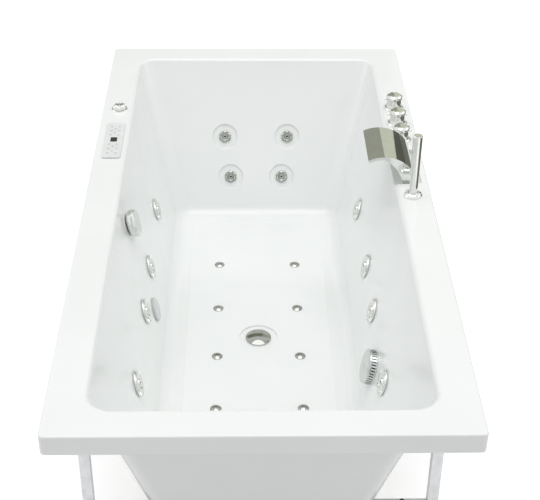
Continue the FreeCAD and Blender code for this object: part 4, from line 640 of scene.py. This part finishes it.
@dataclass
class Paintbox:
    """Builds the shader groups and one material for each finish."""

    dots_scale: float = 165.0
    dot_size: float = 0.55
    dot_edge: float = 0.1
    dot_relief: float = 26.0
    tread_roughness: float = 0.26
    contrast: float = 0.6
    ply_rate: float = 3000.0

    def patches(self) -> NodeTree:
        """Group: broad, cloudy changes of tone and gloss over a surface."""
        sheet = GroupSheet("cloudy_patches", {"Scale": 10.0, "Stretch": 1.0, "Contrast": 0.5},
                           ("Value",))
        noise = sheet.add("ShaderNodeTexNoise", {
            "Vector": sheet.stretched(), "Scale": sheet.given["Scale"], "Detail": 3.0,
            "Roughness": 0.55})
        centred = sheet.math("SUBTRACT", noise.outputs["Fac"], 0.5)
        gain = sheet.math("MULTIPLY", sheet.given["Contrast"], 4.0)
        return sheet.give(Value=sheet.math("MULTIPLY_ADD", centred, gain, 0.5, clamp=True))

    def grain(self) -> NodeTree:
        """Group: the fine relief that a mould, a paint or a polish leaves."""
        sheet = GroupSheet("fine_grain", {"Scale": 800.0, "Stretch": 1.0}, ("Height",))
        place, scale = sheet.stretched(), sheet.given["Scale"]
        fine = sheet.add("ShaderNodeTexNoise", {"Vector": place, "Scale": scale, "Detail": 2.0})
        wide = sheet.add("ShaderNodeTexNoise", {"Vector": place,
                                                "Scale": sheet.math("MULTIPLY", scale, 0.13)})
        return sheet.give(Height=sheet.math("MULTIPLY_ADD", wide.outputs["Fac"], 0.6,
                                            fine.outputs["Fac"]))

    def tread(self) -> NodeTree:
        """Group: the raised anti-slip pattern of the bath's floor, with its curved far edge."""
        sheet = GroupSheet("floor_tread", TREAD, ("Height", "Mask"))
        given, axes = sheet.given, sheet.axes(sheet.place)
        across = sheet.math("DIVIDE", axes["X"], given["Half Width"])
        bow = sheet.math("SUBTRACT", 1.0, sheet.math("MULTIPLY", across, across))
        far = sheet.math("MULTIPLY_ADD", bow, given["Sag"], given["Side Far"])
        mask = sheet.math("LESS_THAN", sheet.math("ABSOLUTE", axes["X"]), given["Half Width"])
        for test in (sheet.math("GREATER_THAN", axes["Y"], given["Near"]),
                     sheet.math("LESS_THAN", axes["Y"], far),
                     sheet.math("LESS_THAN", axes["Z"], given["Top"])):
            mask = sheet.math("MULTIPLY", mask, test)
        cells = sheet.add("ShaderNodeTexVoronoi", {"Vector": sheet.place, "Scale": self.dots_scale})
        inside = sheet.math("SUBTRACT", self.dot_size, cells.outputs["Distance"])
        dots = sheet.math("SMOOTH_MAX", inside, 0.0, self.dot_edge)
        return sheet.give(Height=sheet.math("MULTIPLY", dots, mask), Mask=mask)

    def plies(self) -> NodeTree:
        """Group: the glued layers that show on a board's edges."""
        sheet = GroupSheet("board_plies", {"Layers": self.ply_rate}, ("Value",))
        height = sheet.axes(sheet.place)["Z"]
        wave = sheet.math("SINE", sheet.math("MULTIPLY", height, sheet.given["Layers"]))
        facing = sheet.math("ABSOLUTE", sheet.axes(sheet.coordinates["Normal"])["Z"])
        upright = sheet.math("SUBTRACT", 1.0, facing, clamp=True)
        layers = sheet.math("MULTIPLY_ADD", wave, 0.5, 0.5)
        return sheet.give(Value=sheet.math("MULTIPLY", layers, upright))

    def material(self, finish: Finish, groups: dict[str, NodeTree]) -> Material:
        """One finish's material.

        Args:
            finish: The finish.
            groups: The shader groups by name.

        Returns:
            The material.
        """
        coating = finish.value
        material = bpy.data.materials.new(coating.name)
        material.use_nodes = True
        sheet = NodeSheet(material.node_tree)
        shader = material.node_tree.nodes["Principled BSDF"]
        shader.inputs["Metallic"].default_value = coating.metallic
        shader.inputs["Coat Weight"].default_value = coating.coat
        shader.inputs["Coat Roughness"].default_value = coating.coat_roughness
        stretch = coating.stretch
        tone = sheet.add(
            "ShaderNodeGroup",
            {"Scale": coating.patch, "Stretch": stretch, "Contrast": self.contrast},
            node_tree=groups["patches"]).outputs["Value"]
        relief = sheet.add("ShaderNodeGroup", {"Scale": coating.grain, "Stretch": stretch},
                           node_tree=groups["grain"]).outputs["Height"]
        gloss = sheet.span(tone, *coating.gloss)
        if finish is Finish.ACRYLIC:
            tread = sheet.add("ShaderNodeGroup", node_tree=groups["tread"]).outputs
            relief = sheet.math("MULTIPLY_ADD", tread["Height"], self.dot_relief, relief)
            gloss = sheet.math("MULTIPLY_ADD", tread["Mask"], self.tread_roughness, gloss)
        if finish is Finish.PLYWOOD:
            layers = sheet.add("ShaderNodeGroup", node_tree=groups["plies"])
            tone = sheet.math("SUBTRACT", tone, layers.outputs["Value"], clamp=True)
        bump = sheet.add("ShaderNodeBump", {"Height": relief, "Strength": coating.relief,
                                            "Distance": MM})
        for socket, key in ((sheet.blend(tone, coating.colour, coating.second), "Base Color"),
                            (gloss, "Roughness"), (bump.outputs["Normal"], "Normal")):
            sheet.wire(socket, shader.name, key)
        return material

    def make(self) -> dict[Finish, Material]:
        """Every finish's material, by finish."""
        groups = {"patches": self.patches(), "grain": self.grain(), "tread": self.tread(),
                  "plies": self.plies()}
        return {finish: self.material(finish, groups) for finish in Finish}


# ---------- repeated parts
class RingTree:
    """Geometry Nodes: one small block, repeated evenly round a ring and set on its radius."""

    inputs = {"Count": "Int", "Radius": "Float", "Height": "Float", "Block": "Vector",
              "Tilt": "Float", "Finish": "Material"}

    def __init__(self) -> None:
        """Builds the tree."""
        tree = bpy.data.node_groups.new("blocks_round_a_ring", "GeometryNodeTree")
        self.tree = tree
        for name, kind in self.inputs.items():
            tree.interface.new_socket(name=name, in_out="INPUT", socket_type=f"NodeSocket{kind}")
        tree.interface.new_socket(name="Geometry", in_out="OUTPUT",
                                  socket_type="NodeSocketGeometry")
        sheet = NodeSheet(tree)
        given = sheet.add("NodeGroupInput").outputs
        out = sheet.add("NodeGroupOutput")

        def step(kind: str, values: dict[str | int, object], **settings: object) -> NodeSocket:
            """Adds a node and gives its first output."""
            return sheet.add(kind, values, **settings).outputs[0]

        ring = step("GeometryNodeMeshCircle", {"Vertices": given["Count"],
                                               "Radius": given["Radius"]})
        block = step("GeometryNodeMeshCube", {"Size": given["Block"]})
        lift = step("ShaderNodeCombineXYZ", {"Z": given["Height"]})
        raised = step("GeometryNodeSetPosition", {"Geometry": ring, "Offset": lift})
        place = step("GeometryNodeInputPosition", {})
        facing = step("FunctionNodeAlignRotationToVector", {"Vector": place}, axis="X")
        tilt = step("ShaderNodeCombineXYZ", {"Y": given["Tilt"]})
        euler = step("FunctionNodeEulerToRotation", {0: tilt})
        turned = step("FunctionNodeRotateRotation", {0: facing, 1: euler}, rotation_space="LOCAL")
        blocks = step("GeometryNodeInstanceOnPoints",
                      {"Points": raised, "Instance": block, "Rotation": turned})
        real = step("GeometryNodeRealizeInstances", {0: blocks})
        dressed = step("GeometryNodeSetMaterial", {"Geometry": real, "Material": given["Finish"]})
        tree.links.new(dressed, out.inputs[0])

    def bake(self, finish: Material, **values: object) -> Mesh:
        """The repeated blocks as a plain mesh, in millimetres.

        Args:
            finish: The blocks' material.
            **values: The tree's inputs, by name.

        Returns:
            The mesh.
        """
        host = bpy.data.objects.new("ring_host", bpy.data.meshes.new("ring_host"))
        bpy.context.scene.collection.objects.link(host)
        modifier = host.modifiers.new("ring", "NODES")
        modifier.node_group = self.tree
        values["Finish"] = finish
        for item in self.tree.interface.items_tree:
            if item.in_out == "INPUT":
                modifier[item.identifier] = values[item.name]
        shown = host.evaluated_get(bpy.context.evaluated_depsgraph_get())
        mesh = bpy.data.meshes.new_from_object(shown)
        host.modifiers.clear()
        bpy.data.objects.remove(host)
        return mesh


def absorb(sketch: Sketch, mesh: Mesh, place: Matrix) -> None:
    """Adds a baked mesh, made in millimetres about the origin, to a sketch."""
    sketch.add([v.co for v in mesh.vertices], [tuple(p.vertices) for p in mesh.polygons], place)


# ------------------------------------------------------------------ sub-assemblies
@dataclass
class BathShell:
    """The acrylic shell."""

    soft_angle: float = math.radians(40)

    def build(self, shop: Workshop) -> None:
        """Adds the shell."""
        shop.smooth_copy("tub_shell", "tub", Finish.ACRYLIC, self.soft_angle)


@dataclass
class DeckValves:
    """Three cross handles with pegs and domed caps."""

    x: float = 408.0
    places: Sequence[tuple[str, float]] = (
        ("hot_handle", 500.0), ("cold_handle", 404.0), ("diverter_handle", 308.0))
    low: float = 7.3
    stem_r: float = 6.0
    stem_depth: float = 45.0
    hollow_r: float = 18.0
    hollow_h: float = 2.0
    body_r: float = 21.5
    cap_r: float = 23.8
    cap_z: float = 34.3
    cap_h: float = 12.0
    dome: Sequence[Point] = (
        (1, 0.4), (0.965, 0.56), (0.86, 0.75), (0.66, 0.9), (0.36, 0.975), (0, 1))
    pegs: int = 4
    peg_r: float = 4.0
    peg_z: float = 29.44
    peg_reach: float = 30.0
    peg_root: float = 4.0

    def handle(self, place: Matrix) -> Sketch:
        """One handle with its spindle.

        Args:
            place: The valve's seat.

        Returns:
            The sketch.
        """
        sketch = Sketch()
        low, r, top, cap = self.low, self.body_r, self.cap_z, self.cap_r
        ceiling = low + self.hollow_h
        body = stem(self.stem_r, self.stem_depth, ceiling)
        body += [(self.hollow_r, ceiling), (self.hollow_r, low), (r + 1.5, low), (r + 1.5, ceiling),
                 (r, low + 6), (r - 1, top - 1.6), (r - 3.2, top - 0.6), (r - 3.2, top),
                 (cap - 0.4, top), (cap, top + 1.6)]
        sketch.lathe(rounded(body + scaled(self.dome, cap, top, self.cap_h), 1.2), place, 72)
        r_p, tip = self.peg_r, self.peg_reach - r + self.peg_root
        peg = [(0, 0), (r_p, 0), (r_p, tip - 1), (r_p - 1.2, tip), (r_p - 2, tip - 0.8),
               (0, tip - 1.2)]
        outward = Matrix.Translation((r - self.peg_root, 0, self.peg_z))
        outward @= Matrix.Rotation(math.pi / 2, 4, "Y")
        for i in range(self.pegs):
            turn = Matrix.Rotation(2 * math.pi * i / self.pegs, 4, "Z")
            sketch.lathe(rounded(peg, 0.8, 3), place @ turn @ outward, 28)
        return sketch

    def build(self, shop: Workshop) -> None:
        """Adds the three handles."""
        for body, y in self.places:
            handle = self.handle(WELL.deck(self.x, y))
            shop.stand_in(handle, body, "turned", Finish.CHROME)


@dataclass
class SideJets:
    """Turning chrome faces of the eight wall jets."""

    depth: float = 251.0
    places: tuple[float, ...] = (330.0, 36.0, -168.0, -459.0)
    low: float = 2.3
    radius: float = 33.5
    thick: float = 6.0
    bore: float = 4.5
    neck_r: float = 18.9
    neck_depth: float = 14.0
    dish: Sequence[Point] = (
        (0.62, 1.02), (0.5, 0.8), (0.42, 0.45), (0.31, 0.45), (0.27, 1.1))
    ridges: int = 22
    ridge: Triple = (4.2, 2.6, 1.2)
    ridge_inset: float = 4.6
    ridge_rise: float = 0.76
    ridge_tilt: float = 0.12

    def face(self, ridge_mesh: Mesh, place: Matrix) -> Sketch:
        """One face with its nozzle and the ridges round its rim.

        Args:
            ridge_mesh: The baked ridges.
            place: The jet's seat.

        Returns:
            The sketch.
        """
        low, r, t = self.low, self.radius, self.thick
        sketch = Sketch()
        face = stem(self.neck_r, self.neck_depth, low, self.bore)
        face += [(r, low), (r, low + t * 0.35), (r - 2.5, low + t * 0.72), (r - 6.0, low + t * 0.8),
                 (r - 7.2, low + t * 0.95)] + scaled(self.dish, r, low, t)
        face += [(self.bore + 1.1, low + t * 1.1), (self.bore, low + t * 0.9)]
        sketch.lathe(rounded(face, 1.0), place, 72, closed=True)
        absorb(sketch, ridge_mesh, place)
        return sketch

    def build(self, shop: Workshop) -> None:
        """Adds the eight faces."""
        ridges = shop.ring.bake(
            shop.materials[Finish.CHROME], Count=self.ridges, Radius=self.radius - self.ridge_inset,
            Height=self.low + self.thick * self.ridge_rise, Block=self.ridge, Tilt=self.ridge_tilt)
        seats = [WELL.side(side, y, self.depth) for side in (-1, 1) for y in self.places]
        for number, place in enumerate(seats, 1):
            face = self.face(ridges, place)
            shop.stand_in(face, f"side_jet_face_{number}", "ridged", Finish.CHROME)


@dataclass
class BackJets:
    """Petalled rosettes that spin in the backrest jets."""

    places: tuple[Pair, ...] = ((100.0, 215.0), (82.0, 327.5))
    sink: float = 5.0
    low: float = 2.3
    radius: float = 18.5
    thick: float = 5.0
    bore: float = 3.0
    neck_r: float = 12.4
    neck_depth: float = 12.0
    shares: Sequence[Point] = (
        (1, 0), (1, 0.5), (0.84, 0.95), (0.62, 0.9), (0.46, 0.55), (0.40, 0.55), (0.36, 1.05),
        (0.24, 1.1))
    petals: int = 6
    hub: float = 0.3
    scallop: float = 0.14
    dip: float = 2.0

    def petal(self, r: float, z: float, angle: float) -> Pair:
        """Scallops the rim and dips the gaps between the petals."""
        if r < self.hub * self.radius or z < self.low - 0.1:
            return r, z
        gap = max(0.0, math.cos(self.petals * angle)) ** 3
        press = gap * (r / self.radius) ** 2
        return r * (1 - self.scallop * press), z - self.dip * press * (z > self.low + 1)

    def build(self, shop: Workshop) -> None:
        """Adds the four rosettes."""
        profile = stem(self.neck_r, self.neck_depth, self.low, self.bore)
        profile += scaled(self.shares, self.radius, self.low, self.thick)
        profile = rounded(profile + [(self.bore, self.low + self.thick * 0.9)], 0.8)
        seats = [WELL.back(side * x, depth, self.sink) for x, depth in self.places
                 for side in (-1, 1)]
        for number, place in enumerate(seats, 1):
            sketch = Sketch()
            sketch.lathe(profile, place, 96, self.petal, closed=True)
            # The rosettes take chrome with painted shade, darkened for dark reflections.
            shop.stand_in(sketch, f"back_jet_rotor_{number}", "petals", Finish.SHADED_CHROME)


@dataclass
class AirKnob:
    """Fluted knob of the air control."""

    x: float = -408.0
    y: float = 494.0
    low: float = 2.8
    radius: float = 20.5
    height: float = 13.0
    stem_r: float = 8.0
    stem_depth: float = 28.0
    shares: Sequence[Point] = (
        (1, 0), (1, 0.36), (0.95, 0.56), (0.82, 0.8), (0.56, 0.95), (0.44, 0.9), (0.2, 0.97),
        (0, 1))
    flutes: int = 14
    flute_from: float = 0.5
    flute_foot: float = 0.3
    flute_in: float = 1.3
    flute_down: float = 0.6

    def flute(self, r: float, z: float, angle: float) -> Pair:
        """Presses the flutes into the slope of the knob."""
        if z < self.low + self.height * self.flute_foot or r < self.radius * self.flute_from:
            return r, z
        slope = min(1.0, (r / self.radius - self.flute_from) / 0.3)
        press = slope * max(0.0, math.cos(self.flutes * angle)) ** 2
        return r - self.flute_in * press, z - self.flute_down * press

    def build(self, shop: Workshop) -> None:
        """Adds the knob."""
        profile = stem(self.stem_r, self.stem_depth, self.low)
        profile += scaled(self.shares, self.radius, self.low, self.height)
        sketch = Sketch()
        sketch.lathe(rounded(profile, 1.2), WELL.deck(self.x, self.y), 112, self.flute)
        shop.stand_in(sketch, "air_control_knob", "fluted", Finish.CHROME)


@dataclass
class Keypad:
    """Bezel round the display and the rows of plain key marks on the control panel."""

    x: float = -408.0
    y: float = 299.0
    top: float = 5.0
    display: Pair = (19.0, 26.0)
    border: float = 4.5
    lap: float = 0.4
    corners: Pair = (5.0, 2.0)
    foot: float = -0.2
    crest: float = 0.9
    rows: tuple[tuple[float, int], ...] = ((27.0, 2), (39.0, 1), (51.0, 2), (63.0, 1), (76.0, 2))
    spread: float = 11.0
    mark_r: float = 3.4
    mark_w: float = 0.9
    mark_h: float = 0.25

    def build(self, shop: Workshop) -> None:
        """Adds the bezel and the marks."""
        place = WELL.deck(self.x, self.y)
        half_x, half_y = self.display[0] / 2, self.display[1] / 2
        outer = rounded_box(half_x + self.border, half_y + self.border, self.corners[0])
        inner = rounded_box(half_x - self.lap, half_y - self.lap, self.corners[1])
        bezel = Sketch()
        bezel.loft([[(x + share * (u - x), y + share * (w - y), self.top + rise)
                     for (x, y), (u, w) in zip(outer, inner)]
                    for share, rise in ((0.0, self.foot), (0.25, self.crest), (0.75, self.crest),
                                        (1.0, self.foot))], place, closed=True)
        shop.piece(bezel.mesh("display_bezel"), "tub", Finish.PANEL)
        marks = Sketch()
        r, w, h = self.mark_r, self.mark_w, self.mark_h
        for way in (-1, 1):
            for dy, number in self.rows:
                for x in ((-self.spread, self.spread) if number == 2 else (0.0,)):
                    here = place @ Matrix.Translation((x, way * dy, self.top - 0.05))
                    marks.lathe([(r - w, 0), (r, 0), (r, h), (r - w, h)], here, 20, closed=True)
                    marks.lathe([(0, 0), (1.0, 0), (0.9, h), (0, h)], here, 12)
        shop.piece(marks.mesh("keypad_marks"), "tub", Finish.GREY_PLASTIC)


@dataclass
class SuctionCover:
    """Drum of the suction cover, its side made of many ribs."""

    y: float = -343.0
    depth: float = 300.0
    radius: float = 45.0
    height: float = 22.0
    wall: float = 3.0
    base: float = 4.0
    post_r: float = 6.0
    bridge: Pair = (30.0, 3.0)
    skirt: float = 6.0
    ribs: int = 36
    slot: float = 3.2

    def build(self, shop: Workshop) -> None:
        """Adds the cover."""
        place = WELL.side(1, self.y, self.depth)
        r, h, w, b, post = self.radius, self.height, self.wall, self.base, self.post_r
        sketch = Sketch()
        ring = [(r - w, 0), (r, 0), (r, b), (r - w, b)]
        sketch.lathe(rounded(ring, 0.5), place, 96, closed=True)
        under = h - w - 0.5
        cap = [(0, under), (post, under), (r - w, under), (r - w, h - self.skirt),
               (r, h - self.skirt), (r, h - 3.2), (r - 1.0, h - 1.4), (r - 3.4, h - 0.4),
               (r * 0.8, h), (r * 0.2, h), (r * 0.16, h - 0.7), (0, h - 0.7)]
        sketch.lathe(rounded(cap, 0.8), place, 96)
        sketch.lathe([(0, b / 2), (post, b / 2), (post, h - w), (0, h - w)], place, 32)
        sketch.block(self.bridge, b / 2, b + 1, 0.3, place)
        middle = r - w / 2
        rib = (w - 0.4, 2 * math.pi * middle / self.ribs - self.slot, h - 9)
        ribs = shop.ring.bake(shop.materials[Finish.COVER_CHROME], Count=self.ribs,
                              Radius=middle, Height=(h - 2) / 2, Block=rib, Tilt=0.0)
        absorb(sketch, ribs, place)
        drum = sketch.mesh("suction_cover_drum")
        shop.piece(drum, "tub", Finish.COVER_CHROME, ("suction_cover",))


@dataclass
class OverflowKnob:
    """Thick faceted knob on the left wall."""

    y: float = -20.0
    depth: float = 75.0
    radius: float = 38.0
    height: float = 24.0
    low: float = 6.0
    stem_r: float = 5.0
    stem_depth: float = 47.0
    shares: Sequence[Point] = (
        (0.8, 0), (0.95, 0.22), (0.99, 0.5), (1, 0.72), (1, 0.82), (0.93, 0.96), (0.8, 1), (0, 1))
    facets: int = 8
    flatness: float = 0.925
    flat_from: float = 0.7
    flat_top: float = 0.86
    flat_fade: float = 0.2

    def facet(self, r: float, z: float, angle: float) -> Pair:
        """Flattens the knob's side between its corners, below its front edge."""
        if r < self.radius * self.flat_from:
            return r, z
        part = 2 * math.pi / self.facets
        turn = (angle + part / 2) % part - part / 2
        flat = self.flatness * self.radius / math.cos(turn)
        below = self.low + self.height * self.flat_top - z
        share = min(1.0, max(0.0, below / (self.height * self.flat_fade)))
        return r + share * (min(r, flat) - r), z

    def build(self, shop: Workshop) -> None:
        """Adds the knob with its shaft."""
        profile = stem(self.stem_r, self.stem_depth, self.low)
        profile += scaled(self.shares, self.radius, self.low, self.height)
        place = WELL.side(-1, self.y, self.depth)
        sketch = Sketch()
        sketch.lathe(rounded(profile, 2.0, 5), place, 128, self.facet)
        shop.stand_in(sketch, "overflow_knob", "faceted", Finish.CHROME)


@dataclass
class DrainPlug:
    """Domed cap over the drain, with its stem."""

    y: float = -54.0
    sink: float = 4.0
    low: float = 2.3
    radius: float = 35.0
    rim: float = 2.0
    dome: float = 7.0
    dome_steps: int = 16
    stem_r: float = 4.0
    stem_depth: float = 47.7

    def build(self, shop: Workshop) -> None:
        """Adds the plug."""
        low, r = self.low, self.radius
        arc_r = (r * r + self.dome ** 2) / (2 * self.dome)
        base = low + self.rim + self.dome - arc_r
        reach = [r * i / self.dome_steps for i in range(self.dome_steps - 1, -1, -1)]
        arc = [(x, base + math.sqrt(arc_r ** 2 - x ** 2)) for x in reach]
        edge = [(r - 0.6, low), (r, low + 0.7), (r, low + self.rim)]
        profile = rounded(stem(self.stem_r, self.stem_depth, low) + edge, 0.6, 3) + arc
        sketch = Sketch()
        sketch.lathe(profile, WELL.floor(0, self.y, self.sink), 96)
        # The plug takes chrome with painted shade, darkened for dark reflections.
        shop.stand_in(sketch, "drain_plug", "domed", Finish.SHADED_CHROME)


class CarriedNodes:
    """The pieces whose CAD shape is already right, in runs of one finish."""

    plain = (
        (Finish.PLYWOOD, "support_boards"),
        (Finish.ZINC_STEEL, "support_frame frame_fasteners"),
        (Finish.JET_PLASTIC, "clamp_nuts"),
    )
    fixed = (
        (Finish.CHROME, "valve_escutcheons"),
        (Finish.BRASS, "valve_bodies"),
        (Finish.CHROME, "waterfall_spout handset_holder"),
        (Finish.COPPER, "mixer_pipes"),
        (Finish.CHROME, "air_control_body"),
        (Finish.PANEL, "control_panel"),
        (Finish.DISPLAY, "panel_display"),
        (Finish.JET_PLASTIC, "side_jet_bodies back_jet_bodies light_body"),
        (Finish.LENS, "light_lens"),
        (Finish.JET_PLASTIC, "suction_body overflow_body"),
        (Finish.CHROME, "drain_flange"),
        (Finish.PIPE_PLASTIC, "waste_body overflow_pipe"),
        (Finish.BLACK_PLASTIC, "plug_cable"),
        # The injector caps take chrome with painted shade, darkened for dark reflections.
        (Finish.SHADED_CHROME, "injector_caps"),
        (Finish.JET_PLASTIC, "injector_bodies"),
        (Finish.AIR_HOSE, "blower_pipes"),
        (Finish.GREY_PLASTIC, "blower_housing"),
        (Finish.MOTOR_PAINT, "pump_motor"),
        (Finish.BLACK_PLASTIC, "pump_volute"),
        (Finish.STAINLESS, "heater"),
        (Finish.PIPE_PLASTIC, "suction_pipes water_pipes"),
        (Finish.AIR_HOSE, "air_pipes"),
        (Finish.GREY_PLASTIC, "control_box"),
    )
    moving = (
        (Finish.CHROME, "handset"),
        (Finish.GREY_PLASTIC, "blower_fan"),
        (Finish.STAINLESS, "pump_rotor"),
        (Finish.BLACK_PLASTIC, "foot_1 foot_2 foot_3 foot_4"),
    )

    def build(self, shop: Workshop) -> None:
        """Dresses the nodes, and stands smooth copies of the rounded ones in their place."""
        for finish, nodes in self.plain:
            for node in nodes.split():
                shop.dress(node, finish)
        for runs, body in ((self.fixed, "tub"), (self.moving, "")):
            for finish, nodes in runs:
                for node in nodes.split():
                    shop.smooth_copy(node, body or node, finish)


# ---------- studio
@dataclass(frozen=True)
class Lamp:
    """A large soft lamp: its place and aim in metres, its width and its power in watts."""

    name: str
    place: Triple
    aim: Triple
    size: float
    power: float

    def hang(self) -> None:
        """Puts the lamp into the scene."""
        data = bpy.data.lights.new(self.name, "AREA")
        data.shape = "DISK"
        data.size = self.size
        data.energy = self.power
        lamp = bpy.data.objects.new(self.name, data)
        lamp.location = self.place
        ray = Vector(self.aim) - Vector(self.place)
        lamp.rotation_euler = ray.to_track_quat("-Z", "Y").to_euler()
        bpy.context.scene.collection.objects.link(lamp)


def rectangle(name: str, size: Point, place: Matrix) -> tuple[Object, NodeSheet]:
    """A flat rectangle with a material that has only its output yet.

    Args:
        name: The name of the object and of its material.
        size: Its width and height, in metres.
        place: The matrix that puts it into the scene.

    Returns:
        The object and its material's nodes.
    """
    x, y = size[0] / 2, size[1] / 2
    mesh = bpy.data.meshes.new(name)
    mesh.from_pydata([place @ Vector((sx * x, sy * y, 0)) for sx, sy in CORNERS], [],
                     [(0, 1, 2, 3)])
    material = bpy.data.materials.new(name)
    material.use_nodes = True
    material.node_tree.nodes.remove(material.node_tree.nodes["Principled BSDF"])
    mesh.materials.append(material)
    made = bpy.data.objects.new(name, mesh)
    bpy.context.scene.collection.objects.link(made)
    return made, NodeSheet(material.node_tree)


@dataclass(frozen=True)
class Card:
    """A grey card that only reflections see, as photographers hang by shiny metal.

    Its centre and aim are in metres, and its size is its width and height.
    """

    name: str
    centre: Triple
    size: Pair
    aim: Triple
    tone: float

    def hang(self) -> None:
        """Puts the card into the scene."""
        turn = (Vector(self.aim) - Vector(self.centre)).to_track_quat("Z", "Y")
        place = Matrix.Translation(self.centre) @ turn.to_matrix().to_4x4()
        card, sheet = rectangle(self.name, self.size, place)
        colour = (self.tone, self.tone * 1.04, self.tone * 0.86, 1)
        glow = sheet.add("ShaderNodeEmission", {"Color": colour})
        sheet.wire(glow.outputs[0], "Material Output", "Surface")
        for sight in ("camera", "diffuse", "shadow", "transmission", "volume_scatter"):
            setattr(card, f"visible_{sight}", False)


LAMPS = (
    Lamp("top_lamp", (0.0, 0.3, 4.2), (0, 0, 0.2), 3.2, 42.0),
    Lamp("left_lamp", (-3.2, 0.6, 2.6), (0.3, 0, 0.3), 1.8, 9.0),
    Lamp("right_lamp", (3.2, 0.6, 2.9), (-0.3, 0, 0.3), 1.8, 11.0),
)
CARDS = (
    Card("flag_back_left", (-0.685, 3.6, 2.65), (3.03, 2.5), (-0.685, 0, 2.65), 0.35),
    Card("flag_back_middle", (1.465, 3.6, 2.55), (1.27, 2.7), (1.465, 0, 2.55), 0.64),
    Card("flag_back_right", (2.85, 3.6, 1.5), (1.5, 1.9), (2.85, 0, 1.5), 0.11),
    Card("flag_right", (3.4, 2.2, 0.55), (3.6, 1.3), (0.34, 0.2, 0.62), 0.10),
    Card("flag_low_right", (1.15, 0.6, 0.31), (2.4, 0.6), (0, 0.6, 0.31), 0.17),
)


@dataclass
class Studio:
    """Floor, backdrop, lamps, cards that only reflections see, and the camera."""

    floor_size: float = 30.0
    floor_drop: float = 0.0005
    floor_glow: float = 0.45
    horizon: float = 0.27
    zenith: float = 1.03
    eye: Triple = (-0.04055, -2.71560, 2.29042)
    yaw: float = 0.026320
    pitch: float = 0.600750
    roll: float = 0.012577
    lens: float = 80.70

    def floor(self) -> None:
        """A pale floor that keeps the bath's shadow and looks white elsewhere."""
        floor, sheet = rectangle("studio_floor", (self.floor_size, self.floor_size),
                                 Matrix.Translation((0, 0, -self.floor_drop)))
        noise = sheet.add("ShaderNodeTexNoise", {"Scale": 3.0}).outputs["Fac"]
        tone = sheet.blend(noise, (0.80, 0.80, 0.80), (0.83, 0.83, 0.83))
        matt = sheet.add("ShaderNodeBsdfDiffuse", {"Color": tone}).outputs[0]
        glow = sheet.add("ShaderNodeEmission", {"Strength": self.floor_glow}).outputs[0]
        both = sheet.add("ShaderNodeAddShader", {0: matt, 1: glow}).outputs[0]
        mix = sheet.add("ShaderNodeMixShader", {0: sheet.seen(), 1: matt, 2: both})
        sheet.wire(mix.outputs[0], "Material Output", "Surface")

    def world(self) -> None:
        """White for the camera and for reflections, and elsewhere light mostly from above."""
        world = bpy.data.worlds.new("studio_world")
        bpy.context.scene.world = world
        world.use_nodes = True
        sheet = NodeSheet(world.node_tree)
        direction = sheet.add("ShaderNodeTexCoord").outputs["Generated"]
        height = sheet.add("ShaderNodeSeparateXYZ", {0: direction}).outputs["Z"]
        raised = sheet.math("MAXIMUM", height, 0.0)
        sky = sheet.math("MULTIPLY_ADD", raised, self.zenith - self.horizon, self.horizon)
        sheet.tree.nodes["Background"].inputs["Color"].default_value = (1.0, 1.0, 1.0, 1.0)
        sheet.wire(sheet.math("MAXIMUM", sheet.seen(), sky), "Background", "Strength")

    def camera(self) -> None:
        """The camera at the photograph's viewing angle."""
        cos_p, sin_p = math.cos(self.pitch), math.sin(self.pitch)
        ahead = Vector((math.sin(self.yaw) * cos_p, math.cos(self.yaw) * cos_p, -sin_p))
        right = Vector((math.cos(self.yaw), -math.sin(self.yaw), 0.0))
        up = right.cross(ahead)
        cos_r, sin_r = math.cos(self.roll), math.sin(self.roll)
        tilted_right, tilted_up = cos_r * right + sin_r * up, cos_r * up - sin_r * right
        data = bpy.data.cameras.new("studio_camera")
        data.sensor_fit = "HORIZONTAL"
        data.sensor_width = 36.0
        data.lens = self.lens
        data.clip_end = 100.0
        camera = bpy.data.objects.new("studio_camera", data)
        turn = Matrix((tilted_right, tilted_up, -ahead)).transposed().to_4x4()
        camera.matrix_world = Matrix.Translation(self.eye) @ turn
        bpy.context.scene.collection.objects.link(camera)
        bpy.context.scene.camera = camera

    def build(self) -> None:
        """Sets up the whole studio."""
        bpy.context.scene.view_settings.view_transform = "Standard"
        self.floor()
        self.world()
        for hung in LAMPS + CARDS:
            hung.hang()
        self.camera()


def main() -> None:
    """Builds the bath and its studio."""
    logging.basicConfig(level=logging.INFO, format="%(name)s: %(message)s")
    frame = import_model()
    shop = Workshop(frame, Paintbox().make(), RingTree())
    for assembly in (BathShell(), DeckValves(), SideJets(), BackJets(), AirKnob(), Keypad(),
                     SuctionCover(), OverflowKnob(), DrainPlug(), CarriedNodes()):
        assembly.build(shop)
    Studio().build()
    LOG.info("%d pieces", shop.pieces)


if __name__ == "__main__":
    main()
